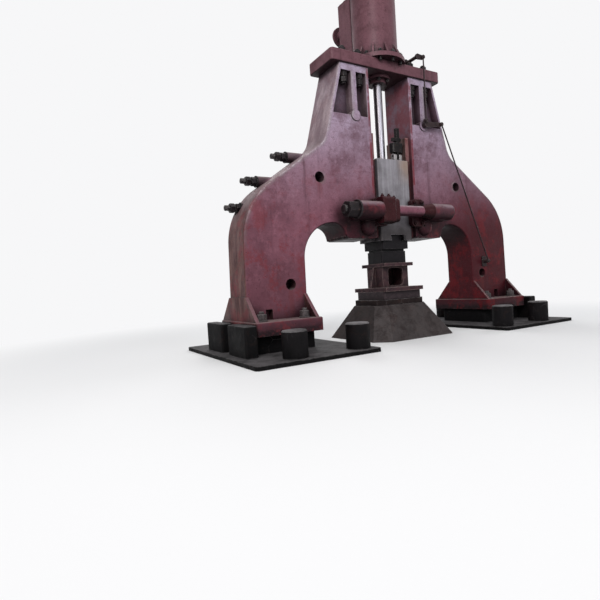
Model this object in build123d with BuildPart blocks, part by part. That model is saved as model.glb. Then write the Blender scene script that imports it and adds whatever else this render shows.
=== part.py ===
from build123d import *
from math import cos, hypot, radians
import os

# Arch-frame steam forging hammer. Millimetres, +Z up, origin on the ground
# at the centre of the die. +X runs from the left stand to the right stand,
# -Y is the front.

os.makedirs("parts", exist_ok=True)

# Clearances
fit_gap = 0.3
slide_clearance = 6
rod_clearance = 5

# Foundation plates, one under each foot
plate_inner_x = 1480
plate_outer_x = 3560
plate_half_depth = 1500
plate_thickness = 60
plate_corner = 60
base_height = 280
base_inner_x = 2060
base_outer_x = 3170
base_half_depth = 560
lug_gap = 30
lug_outer_x = 3400
lug_height = 465
lug_start_y = 130
lug_length = 690
lug_corner = 36
lug_top_round = 26
post_radius = 185
post_height = 390
post_y = 1225
post_inner_x = 1720
post_outer_x = 2825
post_cap_round = 18

# Stands
stand_half_depth = 330
foot_inner_x = 1990
foot_outer_x = 3170
foot_thickness = 210
foot_half_depth = 720
foot_corner = 45
foot_edge = 22
leg_inner_x = 2040
leg_outer_x = 3150
arch_crown_x = 1420
arch_crown_z = 2094
arch_outer_radius = 600
arch_nose_radius = 255
nose_x = 1160
nose_z = 1830
nose_round = 90
seat_round = 45
guide_seat_x = 480
shoulder_low_x = 3095
shoulder_low_z = 2380
shoulder_low_radius = 1150
shoulder_high_x = 1500
shoulder_high_z = 3480
shoulder_high_radius = 420
stand_top_x = 1110
stand_top_z = 4880
edge_round = 30
core_radius = 92
core_depth = 240
core_high_x = 1652
core_high_z = 2862
core_low_x = 2330
core_low_z = 1090
foot_recess_inner_x = 2690
foot_recess_outer_x = 2810
foot_recess_height = 165
foot_recess_depth = 130
gusset_top_z = 930
gusset_thickness = 58
gusset_toe = 45
pocket_floor_z = 3995
pocket_roof_z = 4760
pocket_depth = 170
pocket_rim = 62
pocket_rib_x = 815
pocket_rib_width = 110
pocket_boss_radius = 95
pocket_boss_height = 22
cheek_x = 683
cheek_z = 2040
cheek_radius = 168
cheek_height = 120
cheek_round = 100

# Tie across the front and the back
tie_z = 2290
tie_y = 600
tie_rod_radius = 72
tie_boss_radius = 150
tie_boss_outer_x = 1100
tie_boss_inner_x = 610
tie_washer_radius = 165
tie_washer_thickness = 30
tie_nut_width = 250
tie_nut_height = 210
tie_rod_stickout = 60
tie_head_radius = 105
tie_head_length = 45
tie_clamp_half_depth = 108
tie_clamp_half_height = 235
tie_clamp_width = 285
tie_clamp_round = 70
tie_clamp_edge = 16
tie_shoulder_inset = 28
tie_shoulder_width = 100
tie_flare_x = 380
tie_tube_radius = 95
retainer_inner_x = 300
retainer_gap = 15
retainer_tie_gap = 5
retainer_seat_x = 490
retainer_half_height = 255
retainer_corner = 70

# Foot bolts
foot_bolt_radius = 42
foot_bolt_y = 510
foot_bolt_inner_x = 2215
foot_bolt_outer_x = 2975
foot_nut_width = 140
foot_nut_height = 95
foot_washer_radius = 92
foot_washer_height = 18
foot_bolt_stickout = 40

# Guide bolts that come out of the shoulder
guide_bolt_y = 200
guide_bolt_low_z = 2390
guide_bolt_pitch = 455
guide_bolt_ends_x = (2885, 2575, 1985)
guide_bolt_radius = 46
guide_bolt_seat = 150
guide_bolt_length = 290
guide_boss_radius = 92
guide_boss_depth = 420
guide_spot_radius = 108
guide_washer_radius = 98
guide_washer_thickness = 24
guide_nut_width = 140
guide_nut_height = 80
guide_nut_gap = 22

# Ram and guides
ram_half_width = 380
ram_half_depth = 330
ram_bottom_z = 1790
ram_top_z = 3285
ram_edge = 30
guide_bottom_z = 1850
guide_top_z = 3750
guide_lip_recess = 70
guide_lip_depth = 120
guide_block_count = 4
guide_groove_width = 14
guide_groove_depth = 10

# Dies, prop, anvil
die_half_width = 300
die_half_depth = 215
upper_die_height = 415
die_block_height = 225
die_neck_height = 38
die_neck_inset = 25
die_holder_half_width = 312
die_holder_half_depth = 282
die_dovetail_height = 105
die_dovetail_half_width = 130
die_dovetail_flare = 24
key_thickness = 38
key_stickout = 45
prop_flange_half_width = 345
prop_flange_half_depth = 340
prop_flange_thickness = 62
prop_box_half_width = 315
prop_box_half_depth = 225
prop_base_half_width = 450
prop_base_half_depth = 470
prop_base_thickness = 72
prop_plate = 40
prop_window_half_width = 180
prop_window_corner = 60
prop_window_edge = 30
prop_gusset_foot = 128
prop_gusset_top = 28
lower_die_half_width = 450
lower_die_half_depth = 400
lower_die_height = 150
anvil_top_z = 700
anvil_shoe_z = 600
anvil_shoe_half_width = 565
anvil_shoe_half_depth = 440
anvil_shoe_corner = 120
anvil_top_half_width = 610
anvil_top_half_depth = 470
anvil_foot_half_width = 960
anvil_foot_half_depth = 880
anvil_top_corner = 165
anvil_foot_corner = 235

# Piston rod, piston and cylinder
rod_radius = 84
rod_socket_depth = 180
piston_radius = 325
piston_height = 180
cylinder_plate_thickness = 210
cylinder_plate_half_width = 1290
cylinder_plate_half_depth = 370
cylinder_plate_corner = 60
cylinder_plate_edge = 18
cylinder_wall = 85
cylinder_end_clearance = 70
cylinder_flange_width = 125
cylinder_flange_thickness = 75
cylinder_floor = 90
cylinder_rib_thickness = 36
cylinder_rib_height = 220
ram_travel = 900
gland_radius = 170
gland_drop = 110
gland_flange_radius = 250
gland_flange_thickness = 45
gland_stud_circle = 210
gland_stud_radius = 16
gland_stud_count = 6
gland_nut_width = 56
gland_nut_height = 32
cover_thickness = 80
cover_dome_height = 340
cover_dome_radius = 260
cover_dome_round = 90
flange_bolt_count = 12
flange_bolt_radius = 26
flange_bolt_seat = 60
flange_bolt_stickout = 25
flange_nut_width = 76
flange_nut_height = 48

# Bolts that hold the cylinder plate down on the stands
plate_bolt_radius = 45
plate_bolt_y = 245
plate_bolt_inner_x = 630
plate_bolt_outer_x = 975
plate_nut_width = 124
plate_nut_height = 85
plate_nut_gap = 12
plate_bolt_stickout = 30

# Valve chest and steam connections
chest_half_width = 235
chest_depth = 405
chest_overlap = 20
chest_bottom_offset = 320
chest_height = 1150
chest_cover_thickness = 50
inlet_radius = 100
inlet_pipe_radius = 125
inlet_flange_radius = 205
inlet_flange_thickness = 40
inlet_length = 260
inlet_offset = 760
exhaust_offset = 260
steam_bolt_circle = 165
steam_bolt_radius = 12
steam_bolt_count = 8

# Lifting eyes on the ram with their shackle
eye_places_x = (172, 298)
eye_y = -170
eye_radius = 48
eye_thickness = 60
eye_centre_height = 120
eye_pin_radius = 18
shackle_x = 235
shackle_width = 240
shackle_depth = 130
shackle_bottom_height = 185
shackle_height = 175
shackle_plate = 36
hook_bar_width = 76
hook_bar_depth = 60
hook_bar_height = 290
hook_bar_x = 272
hook_arm_x = 245
hook_arm_length = 212
hook_arm_depth = 60
hook_arm_height = 60
hook_arm_offset = 45

# Control linkage on the right stand
control_y = 420
control_rod_radius = 13
control_arm_depth = 30
control_pin_radius = 24
control_eye_radius = 38
control_hub_radius = 50
control_outer_x = 1200
control_outer_z = 4038
control_inner_x = 790
control_inner_z = 4065
control_low_x = 2395
control_low_z = 1330
control_bracket_width = 130
control_bracket_height = 200
control_bracket_thickness = 24
control_shaft_radius = 32
control_crank_length = 120
control_shaft_height = 170
control_bearing_width = 150
control_bearing_depth = 70
control_bearing_y = 95

foot_top_z = plate_thickness + base_height + foot_thickness
foot_bottom_z = plate_thickness + base_height
lug_inner_x = foot_outer_x + lug_gap
prop_top_z = ram_bottom_z - upper_die_height
prop_bottom_z = anvil_top_z + lower_die_height
plate_top_z = stand_top_z + cylinder_plate_thickness
piston_bottom_z = plate_top_z + cylinder_floor + prop_top_z - prop_bottom_z + slide_clearance
cylinder_top_z = piston_bottom_z + piston_height + ram_travel + cylinder_end_clearance
cylinder_bore_radius = piston_radius + rod_clearance
cylinder_outer_radius = cylinder_bore_radius + cylinder_wall
cylinder_flange_radius = cylinder_outer_radius + cylinder_flange_width
flange_bolt_circle = cylinder_outer_radius + cylinder_flange_width / 2
chest_inner_y = cylinder_outer_radius - chest_overlap
chest_outer_y = chest_inner_y + chest_depth
chest_bottom_z = plate_top_z + chest_bottom_offset
guide_face_x = ram_half_width + slide_clearance
guide_lip_outer_y = stand_half_depth - guide_lip_recess
guide_lip_inner_y = guide_lip_outer_y - guide_lip_depth
retainer_y = stand_half_depth + retainer_gap
retainer_outer_y = tie_y - tie_boss_radius - retainer_tie_gap
foot_bolt_places_x = (foot_bolt_inner_x, foot_bolt_outer_x)
plate_bolt_places_x = (plate_bolt_inner_x, plate_bolt_outer_x)
guide_bolts = [(end_x, guide_bolt_low_z + row * guide_bolt_pitch) for row, end_x in enumerate(guide_bolt_ends_x)]
sides = ((-1, "left"), (1, "right"))
ends = ((-1, "front"), (1, "rear"))


def write(part, name):
    """Labels a finished piece and writes it as its own STEP file."""
    part.label = name
    export_step(part, f"parts/{name}.step")


def hexagon_radius(width):
    """Corner radius of a hexagon with the given width over its flats."""
    return width / 2 / cos(radians(30))


def tie_axis(end):
    """The axis of the tie at the front or the back."""
    return Axis((0, end * tie_y, tie_z), (1, 0, 0))


def dovetail_face(gap):
    """The section of the die's dovetail, grown by a gap on its left side and top."""
    top = die_dovetail_height + gap
    left = -die_dovetail_half_width - gap
    with BuildLine() as section:
        Polyline(
            (left, ram_bottom_z),
            (die_dovetail_half_width, ram_bottom_z),
            (die_dovetail_half_width, ram_bottom_z + top),
            (left - die_dovetail_flare * top / die_dovetail_height, ram_bottom_z + top),
            close=True,
        )
    make_face(section.edges())


def outer_line(side):
    """The outer contour of a stand, from its foot to the cylinder plate."""
    return FilletPolyline(
        (side * leg_outer_x, foot_bottom_z),
        (side * shoulder_low_x, shoulder_low_z),
        (side * shoulder_high_x, shoulder_high_z),
        (side * stand_top_x, stand_top_z),
        radius=(shoulder_low_radius, shoulder_high_radius),
    )


def inner_line(side):
    """The inner contour of a stand, from its foot over the arch to the guide."""
    return FilletPolyline(
        (side * leg_inner_x, foot_bottom_z),
        (side * (arch_crown_x + arch_outer_radius), arch_crown_z),
        (side * nose_x, arch_crown_z),
        (side * nose_x, nose_z),
        (side * guide_seat_x, nose_z),
        (side * guide_seat_x, stand_top_z),
        radius=(arch_outer_radius, arch_nose_radius, nose_round, seat_round),
    )


def stand_outline(side):
    """The closed front outline of a stand in the current sketch."""
    with BuildLine() as outline:
        outer = outer_line(side)
        inner = inner_line(side)
        Line(outer @ 0, inner @ 0)
        Line(outer @ 1, inner @ 1)
    make_face(outline.edges())


def on_contour(edge):
    """True for an edge of the leg, the arch or the shoulder of a stand."""
    centre = edge.center()
    return foot_top_z < centre.Z < stand_top_z - 1 and abs(centre.X) > nose_x + edge_round


# Foundation plates with the base of each foot and its outer lugs
for side, name in sides:
    with BuildPart() as foundation_plate:
        with BuildSketch(Plane.XY.offset(plate_thickness)):
            for end, _ in ends:
                with Locations((side * (lug_inner_x + lug_outer_x) / 2, end * (lug_start_y + lug_length / 2))):
                    RectangleRounded(lug_outer_x - lug_inner_x, lug_length, lug_corner)
        extrude(amount=lug_height)
        fillet(foundation_plate.faces().filter_by(Axis.Z).group_by(Axis.Z)[-1].edges(), lug_top_round)
        with BuildSketch():
            with Locations((side * (plate_inner_x + plate_outer_x) / 2, 0)):
                RectangleRounded(plate_outer_x - plate_inner_x, 2 * plate_half_depth, plate_corner)
        extrude(amount=plate_thickness)
        with BuildSketch(Plane.XY.offset(plate_thickness)):
            with Locations((side * (base_inner_x + base_outer_x) / 2, 0)):
                RectangleRounded(base_outer_x - base_inner_x, 2 * base_half_depth, plate_corner)
        extrude(amount=base_height)
    write(foundation_plate.part, f"foundation_plate_{name}")

# Round holding-down posts in front of and behind each foot
for side, name in sides:
    with BuildPart() as anchor_posts:
        with BuildSketch(Plane.XY.offset(plate_thickness)):
            for post_x in (post_inner_x, post_outer_x):
                with Locations((side * post_x, -post_y), (side * post_x, post_y)):
                    Circle(post_radius)
        extrude(amount=post_height)
        chamfer(anchor_posts.faces().filter_by(Axis.Z).group_by(Axis.Z)[-1].edges(), post_cap_round)
    write(anchor_posts.part, f"anchor_posts_{name}")

# Stands
for side, name in sides:
    with BuildPart() as stand:
        with BuildSketch(Plane.XZ):
            stand_outline(side)
        extrude(amount=stand_half_depth, both=True)
        fillet(stand.faces().filter_by(Axis.Y).edges().filter_by(on_contour), edge_round)
        # Round cheeks at the lower end of the guide
        for end, _ in ends:
            with BuildSketch(Plane.XZ.offset(-end * stand_half_depth)):
                with Locations((side * cheek_x, cheek_z)):
                    Circle(cheek_radius)
            extrude(amount=-end * cheek_height)
            outermost = 0 if end < 0 else -1
            fillet(stand.faces().filter_by(Axis.Y).sort_by(Axis.Y)[outermost].edges(), cheek_round)
            with BuildSketch(Plane.XZ.offset(-end * stand_half_depth)):
                with Locations((side * (retainer_inner_x + tie_boss_inner_x) / 2, tie_z)):
                    Rectangle(tie_boss_inner_x - retainer_inner_x, 2 * retainer_half_height)
            extrude(amount=-end * cheek_height, mode=Mode.SUBTRACT)
        # Foot flange
        with BuildSketch(Plane.XY.offset(foot_bottom_z)):
            with Locations((side * (foot_inner_x + foot_outer_x) / 2, 0)):
                RectangleRounded(foot_outer_x - foot_inner_x, 2 * foot_half_depth, foot_corner)
        extrude(amount=foot_thickness)
        flange_top = stand.faces().filter_by(Axis.Z).filter_by_position(Axis.Z, foot_top_z - 1, foot_top_z + 1)[0]
        fillet(flange_top.outer_wire().edges(), foot_edge)
        # Foot gussets
        for gusset_x in (leg_inner_x, leg_outer_x - gusset_thickness):
            start_x = min(side * gusset_x, side * (gusset_x + gusset_thickness))
            with BuildSketch(Plane.YZ.offset(start_x)):
                with BuildLine():
                    Polyline(
                        (-foot_half_depth + gusset_toe, foot_top_z),
                        (-stand_half_depth, gusset_top_z),
                        (stand_half_depth, gusset_top_z),
                        (foot_half_depth - gusset_toe, foot_top_z),
                        close=True,
                    )
                make_face()
            extrude(amount=gusset_thickness)
        for end, _ in ends:
            # Recess above the foot flange
            with BuildSketch(Plane.XZ.offset(-end * stand_half_depth)):
                with Locations((side * (foot_recess_inner_x + foot_recess_outer_x) / 2, foot_top_z)):
                    Rectangle(
                        foot_recess_outer_x - foot_recess_inner_x,
                        foot_recess_height,
                        align=(Align.CENTER, Align.MIN),
                    )
            extrude(amount=end * foot_recess_depth, mode=Mode.SUBTRACT)
            # Pockets under the cylinder plate
            with BuildSketch(Plane.XZ.offset(-end * stand_half_depth)):
                stand_outline(side)
                with BuildLine(mode=Mode.PRIVATE) as border:
                    outer_line(side)
                trace(border.line, line_width=2 * pocket_rim, mode=Mode.SUBTRACT)
                with Locations((side * shoulder_high_x, (pocket_floor_z + pocket_roof_z) / 2)):
                    Rectangle(2 * shoulder_high_x, pocket_roof_z - pocket_floor_z, mode=Mode.INTERSECT)
                with Locations((side * guide_seat_x, (pocket_floor_z + pocket_roof_z) / 2)):
                    Rectangle(2 * pocket_rim, pocket_roof_z - pocket_floor_z, mode=Mode.SUBTRACT)
                with Locations((side * pocket_rib_x, (pocket_floor_z + pocket_roof_z) / 2)):
                    Rectangle(pocket_rib_width, pocket_roof_z - pocket_floor_z, mode=Mode.SUBTRACT)
            extrude(amount=end * pocket_depth, mode=Mode.SUBTRACT)
            # Round boss at the foot of the rib between the pockets
            with BuildSketch(Plane.XZ.offset(-end * (stand_half_depth - pocket_depth))):
                with Locations((side * pocket_rib_x, pocket_floor_z)):
                    Circle(pocket_boss_radius)
            extrude(amount=-end * (pocket_depth + pocket_boss_height))
            # Blind core holes
            with BuildSketch(Plane.XZ.offset(-end * stand_half_depth)):
                with Locations((side * core_high_x, core_high_z), (side * core_low_x, core_low_z)):
                    Circle(core_radius)
            extrude(amount=end * core_depth, mode=Mode.SUBTRACT)
            # Tie boss
            start_x = min(side * tie_boss_inner_x, side * tie_boss_outer_x)
            with BuildSketch(Plane.YZ.offset(start_x)):
                with Locations((end * tie_y, tie_z)):
                    Circle(tie_boss_radius)
                with Locations((end * (tie_y + stand_half_depth) / 2, tie_z)):
                    Rectangle(tie_y - stand_half_depth, 2 * tie_boss_radius)
                with Locations((end * tie_y, tie_z)):
                    Circle(tie_rod_radius + fit_gap, mode=Mode.SUBTRACT)
            extrude(amount=tie_boss_outer_x - tie_boss_inner_x)
        # Bosses with blind holes for the guide bolts
        for end_x, bolt_z in guide_bolts:
            with BuildSketch(Plane.YZ.offset(side * end_x)):
                with Locations((guide_bolt_y, bolt_z)):
                    Circle(guide_boss_radius)
            extrude(amount=-side * guide_boss_depth)
            with BuildSketch(Plane.YZ.offset(side * end_x)):
                with Locations((guide_bolt_y, bolt_z)):
                    Circle(guide_spot_radius)
            extrude(amount=side * guide_bolt_length, mode=Mode.SUBTRACT)
            with BuildSketch(Plane.YZ.offset(side * end_x)):
                with Locations((guide_bolt_y, bolt_z)):
                    Circle(guide_bolt_radius + fit_gap)
            extrude(amount=-side * guide_bolt_seat, mode=Mode.SUBTRACT)
        # Holes for the foot bolts and for the bolts of the cylinder plate
        with BuildSketch(Plane.XY.offset(foot_bottom_z)):
            for bolt_x in foot_bolt_places_x:
                with Locations((side * bolt_x, -foot_bolt_y), (side * bolt_x, foot_bolt_y)):
                    Circle(foot_bolt_radius + fit_gap)
        extrude(amount=foot_thickness, mode=Mode.SUBTRACT)
        with BuildSketch(Plane.XY.offset(pocket_roof_z)):
            for bolt_x in plate_bolt_places_x:
                with Locations((side * bolt_x, -plate_bolt_y), (side * bolt_x, plate_bolt_y)):
                    Circle(plate_bolt_radius + fit_gap)
        extrude(amount=stand_top_z - pocket_roof_z, mode=Mode.SUBTRACT)
    write(stand.part, f"{name}_stand")

# Foot bolts with nuts and washers
for side, name in sides:
    with BuildPart() as foot_bolts:
        places = [(side * bolt_x, end * foot_bolt_y) for bolt_x in foot_bolt_places_x for end, _ in ends]
        with BuildSketch(Plane.XY.offset(foot_bottom_z)):
            with Locations(*places):
                Circle(foot_bolt_radius)
        extrude(amount=foot_thickness + foot_washer_height + foot_nut_height + foot_bolt_stickout)
        with BuildSketch(Plane.XY.offset(foot_top_z)):
            with Locations(*places):
                Circle(foot_washer_radius)
        extrude(amount=foot_washer_height)
        with BuildSketch(Plane.XY.offset(foot_top_z + foot_washer_height)):
            with Locations(*places):
                RegularPolygon(hexagon_radius(foot_nut_width), 6)
        extrude(amount=foot_nut_height)
    write(foot_bolts.part, f"foot_bolts_{name}")

# Guide lips in blocks, in front of and behind the ram
for side, name in sides:
    with BuildPart() as guide_liner:
        for end, _ in ends:
            lip_middle = (side * (guide_face_x + guide_seat_x) / 2, end * (guide_lip_outer_y + guide_lip_inner_y) / 2)
            lip_width = guide_seat_x - guide_face_x
            with BuildSketch(Plane.XY.offset(guide_bottom_z)):
                with Locations(lip_middle):
                    Rectangle(lip_width, guide_lip_depth)
            extrude(amount=guide_top_z - guide_bottom_z)
            for joint in range(1, guide_block_count):
                joint_z = guide_bottom_z + joint * (guide_top_z - guide_bottom_z) / guide_block_count
                with BuildSketch(Plane.XY.offset(joint_z)):
                    with Locations(lip_middle):
                        Rectangle(lip_width, guide_lip_depth)
                    core_x = side * (guide_face_x + guide_groove_depth + guide_seat_x) / 2
                    with Locations((core_x, lip_middle[1] - end * guide_groove_depth)):
                        Rectangle(lip_width - guide_groove_depth, guide_lip_depth, mode=Mode.SUBTRACT)
                extrude(amount=guide_groove_width, mode=Mode.SUBTRACT)
    write(guide_liner.part, f"guide_liner_{name}")

# Guide bolts that come out of the shoulder, with two nuts each
for side, name in sides:
    with BuildPart() as guide_bolt_set:
        for end_x, bolt_z in guide_bolts:
            with BuildSketch(Plane.YZ.offset(side * (end_x - guide_bolt_seat))):
                with Locations((guide_bolt_y, bolt_z)):
                    Circle(guide_bolt_radius)
            extrude(amount=side * (guide_bolt_seat + guide_bolt_length))
            with BuildSketch(Plane.YZ.offset(side * end_x)):
                with Locations((guide_bolt_y, bolt_z)):
                    Circle(guide_washer_radius)
            extrude(amount=side * guide_washer_thickness)
            for nut in range(2):
                nut_x = end_x + guide_washer_thickness + nut * (guide_nut_height + guide_nut_gap)
                with BuildSketch(Plane.YZ.offset(side * nut_x)):
                    with Locations((guide_bolt_y, bolt_z)):
                        RegularPolygon(hexagon_radius(guide_nut_width), 6)
                extrude(amount=side * guide_nut_height)
    write(guide_bolt_set.part, f"guide_bolts_{name}")

# Tie bolts at the front and the back, nut at the left and round head at the right
for end, name in ends:
    with BuildPart() as tie_bolt:
        nut_x = -tie_boss_outer_x - tie_washer_thickness - tie_nut_height
        with BuildSketch(Plane.YZ.offset(nut_x - tie_rod_stickout)):
            with Locations((end * tie_y, tie_z)):
                Circle(tie_rod_radius)
        extrude(amount=tie_boss_outer_x + tie_head_length + 2 * tie_rod_stickout - nut_x)
        with BuildSketch(Plane.YZ.offset(-tie_boss_outer_x)):
            with Locations((end * tie_y, tie_z)):
                Circle(tie_washer_radius)
        extrude(amount=-tie_washer_thickness)
        with BuildSketch(Plane.YZ.offset(nut_x)):
            with Locations((end * tie_y, tie_z)):
                RegularPolygon(hexagon_radius(tie_nut_width), 6)
        extrude(amount=tie_nut_height)
        with BuildSketch(Plane.YZ.offset(tie_boss_outer_x)):
            with Locations((end * tie_y, tie_z)):
                Circle(tie_head_radius)
        extrude(amount=tie_head_length)
    write(tie_bolt.part, f"{name}_tie_bolt")

    with BuildPart() as tie_collars:
        bore = tie_rod_radius + fit_gap
        shoulder_x = -tie_boss_inner_x + tie_clamp_width
        with BuildSketch(Plane.YZ.offset(-tie_boss_inner_x)):
            with Locations((end * tie_y, tie_z)):
                RectangleRounded(2 * tie_clamp_half_depth, 2 * tie_clamp_half_height, tie_clamp_round)
        extrude(amount=tie_clamp_width)
        fillet(tie_collars.faces().filter_by(Axis.X).edges(), tie_clamp_edge)
        with BuildSketch(Plane.YZ.offset(shoulder_x)):
            with Locations((end * tie_y, tie_z)):
                RectangleRounded(
                    2 * (tie_clamp_half_depth - tie_clamp_edge),
                    2 * (tie_clamp_half_height - tie_shoulder_inset),
                    tie_clamp_round,
                )
        extrude(amount=tie_shoulder_width)
        with BuildSketch(Plane.YZ.offset(-tie_boss_inner_x)):
            with Locations((end * tie_y, tie_z)):
                Circle(bore)
        extrude(amount=tie_clamp_width + tie_shoulder_width, mode=Mode.SUBTRACT)
        # Flared end of the tube at the right
        with BuildSketch(Plane.XY.offset(tie_z)):
            with BuildLine():
                Polyline(
                    (tie_flare_x, end * (tie_y + bore)),
                    (tie_flare_x, end * (tie_y + tie_tube_radius)),
                    (tie_boss_inner_x, end * (tie_y + tie_boss_radius)),
                    (tie_boss_inner_x, end * (tie_y + bore)),
                    close=True,
                )
            make_face()
        revolve(axis=tie_axis(end))
        # Retainers beside the bosses that hold the ram in its guides
        for side, _ in sides:
            retainer_middle = (side * (retainer_inner_x + tie_boss_inner_x) / 2, tie_z)
            retainer_width = tie_boss_inner_x - retainer_inner_x
            with BuildSketch(Plane.XZ.offset(-end * retainer_y)):
                with Locations(retainer_middle):
                    RectangleRounded(retainer_width, 2 * retainer_half_height, retainer_corner)
            extrude(amount=-end * (retainer_outer_y - retainer_y))
            with BuildSketch(Plane.XZ.offset(-end * stand_half_depth)):
                with Locations(retainer_middle):
                    RectangleRounded(retainer_width, 2 * retainer_half_height, retainer_corner)
                with Locations((side * retainer_seat_x / 2, tie_z)):
                    Rectangle(retainer_seat_x, 2 * retainer_half_height, mode=Mode.SUBTRACT)
            extrude(amount=-end * retainer_gap)
    write(tie_collars.part, f"{name}_tie_collars")

    with BuildPart() as tie_sleeve:
        with BuildSketch(Plane.YZ.offset(shoulder_x + tie_shoulder_width)):
            with Locations((end * tie_y, tie_z)):
                Circle(tie_tube_radius)
                Circle(bore, mode=Mode.SUBTRACT)
        extrude(amount=tie_flare_x - shoulder_x - tie_shoulder_width)
    write(tie_sleeve.part, f"{name}_tie_sleeve")

# Anvil
with BuildPart() as anvil:
    with BuildSketch() as anvil_foot:
        Rectangle(2 * anvil_foot_half_width, 2 * anvil_foot_half_depth)
        chamfer(anvil_foot.vertices(), anvil_foot_corner)
    with BuildSketch(Plane.XY.offset(anvil_shoe_z)) as anvil_shoulder:
        Rectangle(2 * anvil_top_half_width, 2 * anvil_top_half_depth)
        chamfer(anvil_shoulder.vertices(), anvil_top_corner)
    loft()
    with BuildSketch(Plane.XY.offset(anvil_shoe_z)) as anvil_shoe:
        Rectangle(2 * anvil_shoe_half_width, 2 * anvil_shoe_half_depth)
        chamfer(anvil_shoe.vertices(), anvil_shoe_corner)
    extrude(amount=anvil_top_z - anvil_shoe_z)
write(anvil.part, "anvil")

# Lower die under the prop
with BuildPart() as lower_die:
    with BuildSketch(Plane.XY.offset(anvil_top_z)):
        RectangleRounded(2 * lower_die_half_width, 2 * lower_die_half_depth, edge_round)
    extrude(amount=lower_die_height)
write(lower_die.part, "lower_die")

# Welded prop that holds the ram up
with BuildPart() as prop_stand:
    box_bottom_z = prop_bottom_z + prop_base_thickness
    box_height = prop_top_z - prop_flange_thickness - box_bottom_z
    with BuildSketch(Plane.XY.offset(prop_bottom_z)):
        Rectangle(2 * prop_base_half_width, 2 * prop_base_half_depth)
    extrude(amount=prop_base_thickness)
    with BuildSketch(Plane.XY.offset(box_bottom_z)):
        Rectangle(2 * prop_box_half_width, 2 * prop_box_half_depth)
        Rectangle(2 * (prop_box_half_width - prop_plate), 2 * (prop_box_half_depth - prop_plate), mode=Mode.SUBTRACT)
    extrude(amount=box_height)
    with BuildSketch(Plane.XZ.offset(prop_box_half_depth)):
        with Locations((0, box_bottom_z + box_height / 2)):
            RectangleRounded(2 * prop_window_half_width, box_height - 2 * prop_window_edge, prop_window_corner)
    extrude(amount=-prop_plate, mode=Mode.SUBTRACT)
    for side, _ in sides:
        with BuildSketch(Plane.XZ):
            with BuildLine():
                Polyline(
                    (side * prop_box_half_width, box_bottom_z),
                    (side * (prop_box_half_width + prop_gusset_foot), box_bottom_z),
                    (side * (prop_box_half_width + prop_gusset_top), box_bottom_z + box_height),
                    (side * prop_box_half_width, box_bottom_z + box_height),
                    close=True,
                )
            make_face()
        extrude(amount=prop_plate / 2, both=True)
    with BuildSketch(Plane.XY.offset(prop_top_z - prop_flange_thickness)):
        Rectangle(2 * prop_flange_half_width, 2 * prop_flange_half_depth)
    extrude(amount=prop_flange_thickness)
write(prop_stand.part, "prop_stand")

# Upper die with its holder and dovetail
with BuildPart() as upper_die:
    with BuildSketch(Plane.XY.offset(prop_top_z)):
        RectangleRounded(2 * die_half_width, 2 * die_half_depth, edge_round)
    extrude(amount=die_block_height)
    with BuildSketch(Plane.XY.offset(prop_top_z + die_block_height)):
        Rectangle(2 * (die_half_width - die_neck_inset), 2 * (die_half_depth - die_neck_inset))
    extrude(amount=die_neck_height)
    with BuildSketch(Plane.XY.offset(prop_top_z + die_block_height + die_neck_height)):
        RectangleRounded(2 * die_holder_half_width, 2 * die_holder_half_depth, edge_round)
    extrude(amount=upper_die_height - die_block_height - die_neck_height)
    with BuildSketch(Plane.XZ):
        dovetail_face(0)
    extrude(amount=die_holder_half_depth, both=True)
write(upper_die.part, "upper_die")

# Ram with the tongues that run between the guide lips
with BuildPart() as ram:
    with BuildSketch(Plane.XY.offset(ram_bottom_z)):
        RectangleRounded(2 * ram_half_width, 2 * ram_half_depth, ram_edge)
        Rectangle(2 * (guide_seat_x - slide_clearance), 2 * (guide_lip_inner_y - slide_clearance))
    extrude(amount=ram_top_z - ram_bottom_z)
    with BuildSketch(Plane.XZ):
        dovetail_face(fit_gap)
        with Locations((die_dovetail_half_width, ram_bottom_z)):
            Rectangle(key_thickness, die_dovetail_height + fit_gap, align=(Align.MIN, Align.MIN))
    extrude(amount=ram_half_depth, both=True, mode=Mode.SUBTRACT)
    with BuildSketch(Plane.XY.offset(ram_top_z)):
        Circle(rod_radius)
    extrude(amount=-rod_socket_depth, mode=Mode.SUBTRACT)
write(ram.part, "ram")

# Key that wedges the upper die in the ram
with BuildPart() as upper_die_key:
    with BuildSketch(Plane.XZ):
        with Locations((die_dovetail_half_width, ram_bottom_z)):
            Rectangle(key_thickness, die_dovetail_height, align=(Align.MIN, Align.MIN))
    extrude(amount=ram_half_depth + key_stickout, both=True)
write(upper_die_key.part, "upper_die_key")

# Lifting eyes on the ram
with BuildPart() as ram_lifting_eyes:
    for eye_x in eye_places_x:
        with BuildSketch(Plane.YZ.offset(eye_x - eye_thickness / 2)):
            with Locations((eye_y, ram_top_z + eye_centre_height)):
                Circle(eye_radius)
            with Locations((eye_y, ram_top_z)):
                Rectangle(2 * eye_radius, eye_centre_height, align=(Align.CENTER, Align.MIN))
            with Locations((eye_y, ram_top_z + eye_centre_height)):
                Circle(eye_pin_radius + fit_gap, mode=Mode.SUBTRACT)
        extrude(amount=eye_thickness)
write(ram_lifting_eyes.part, "ram_lifting_eyes")

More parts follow.
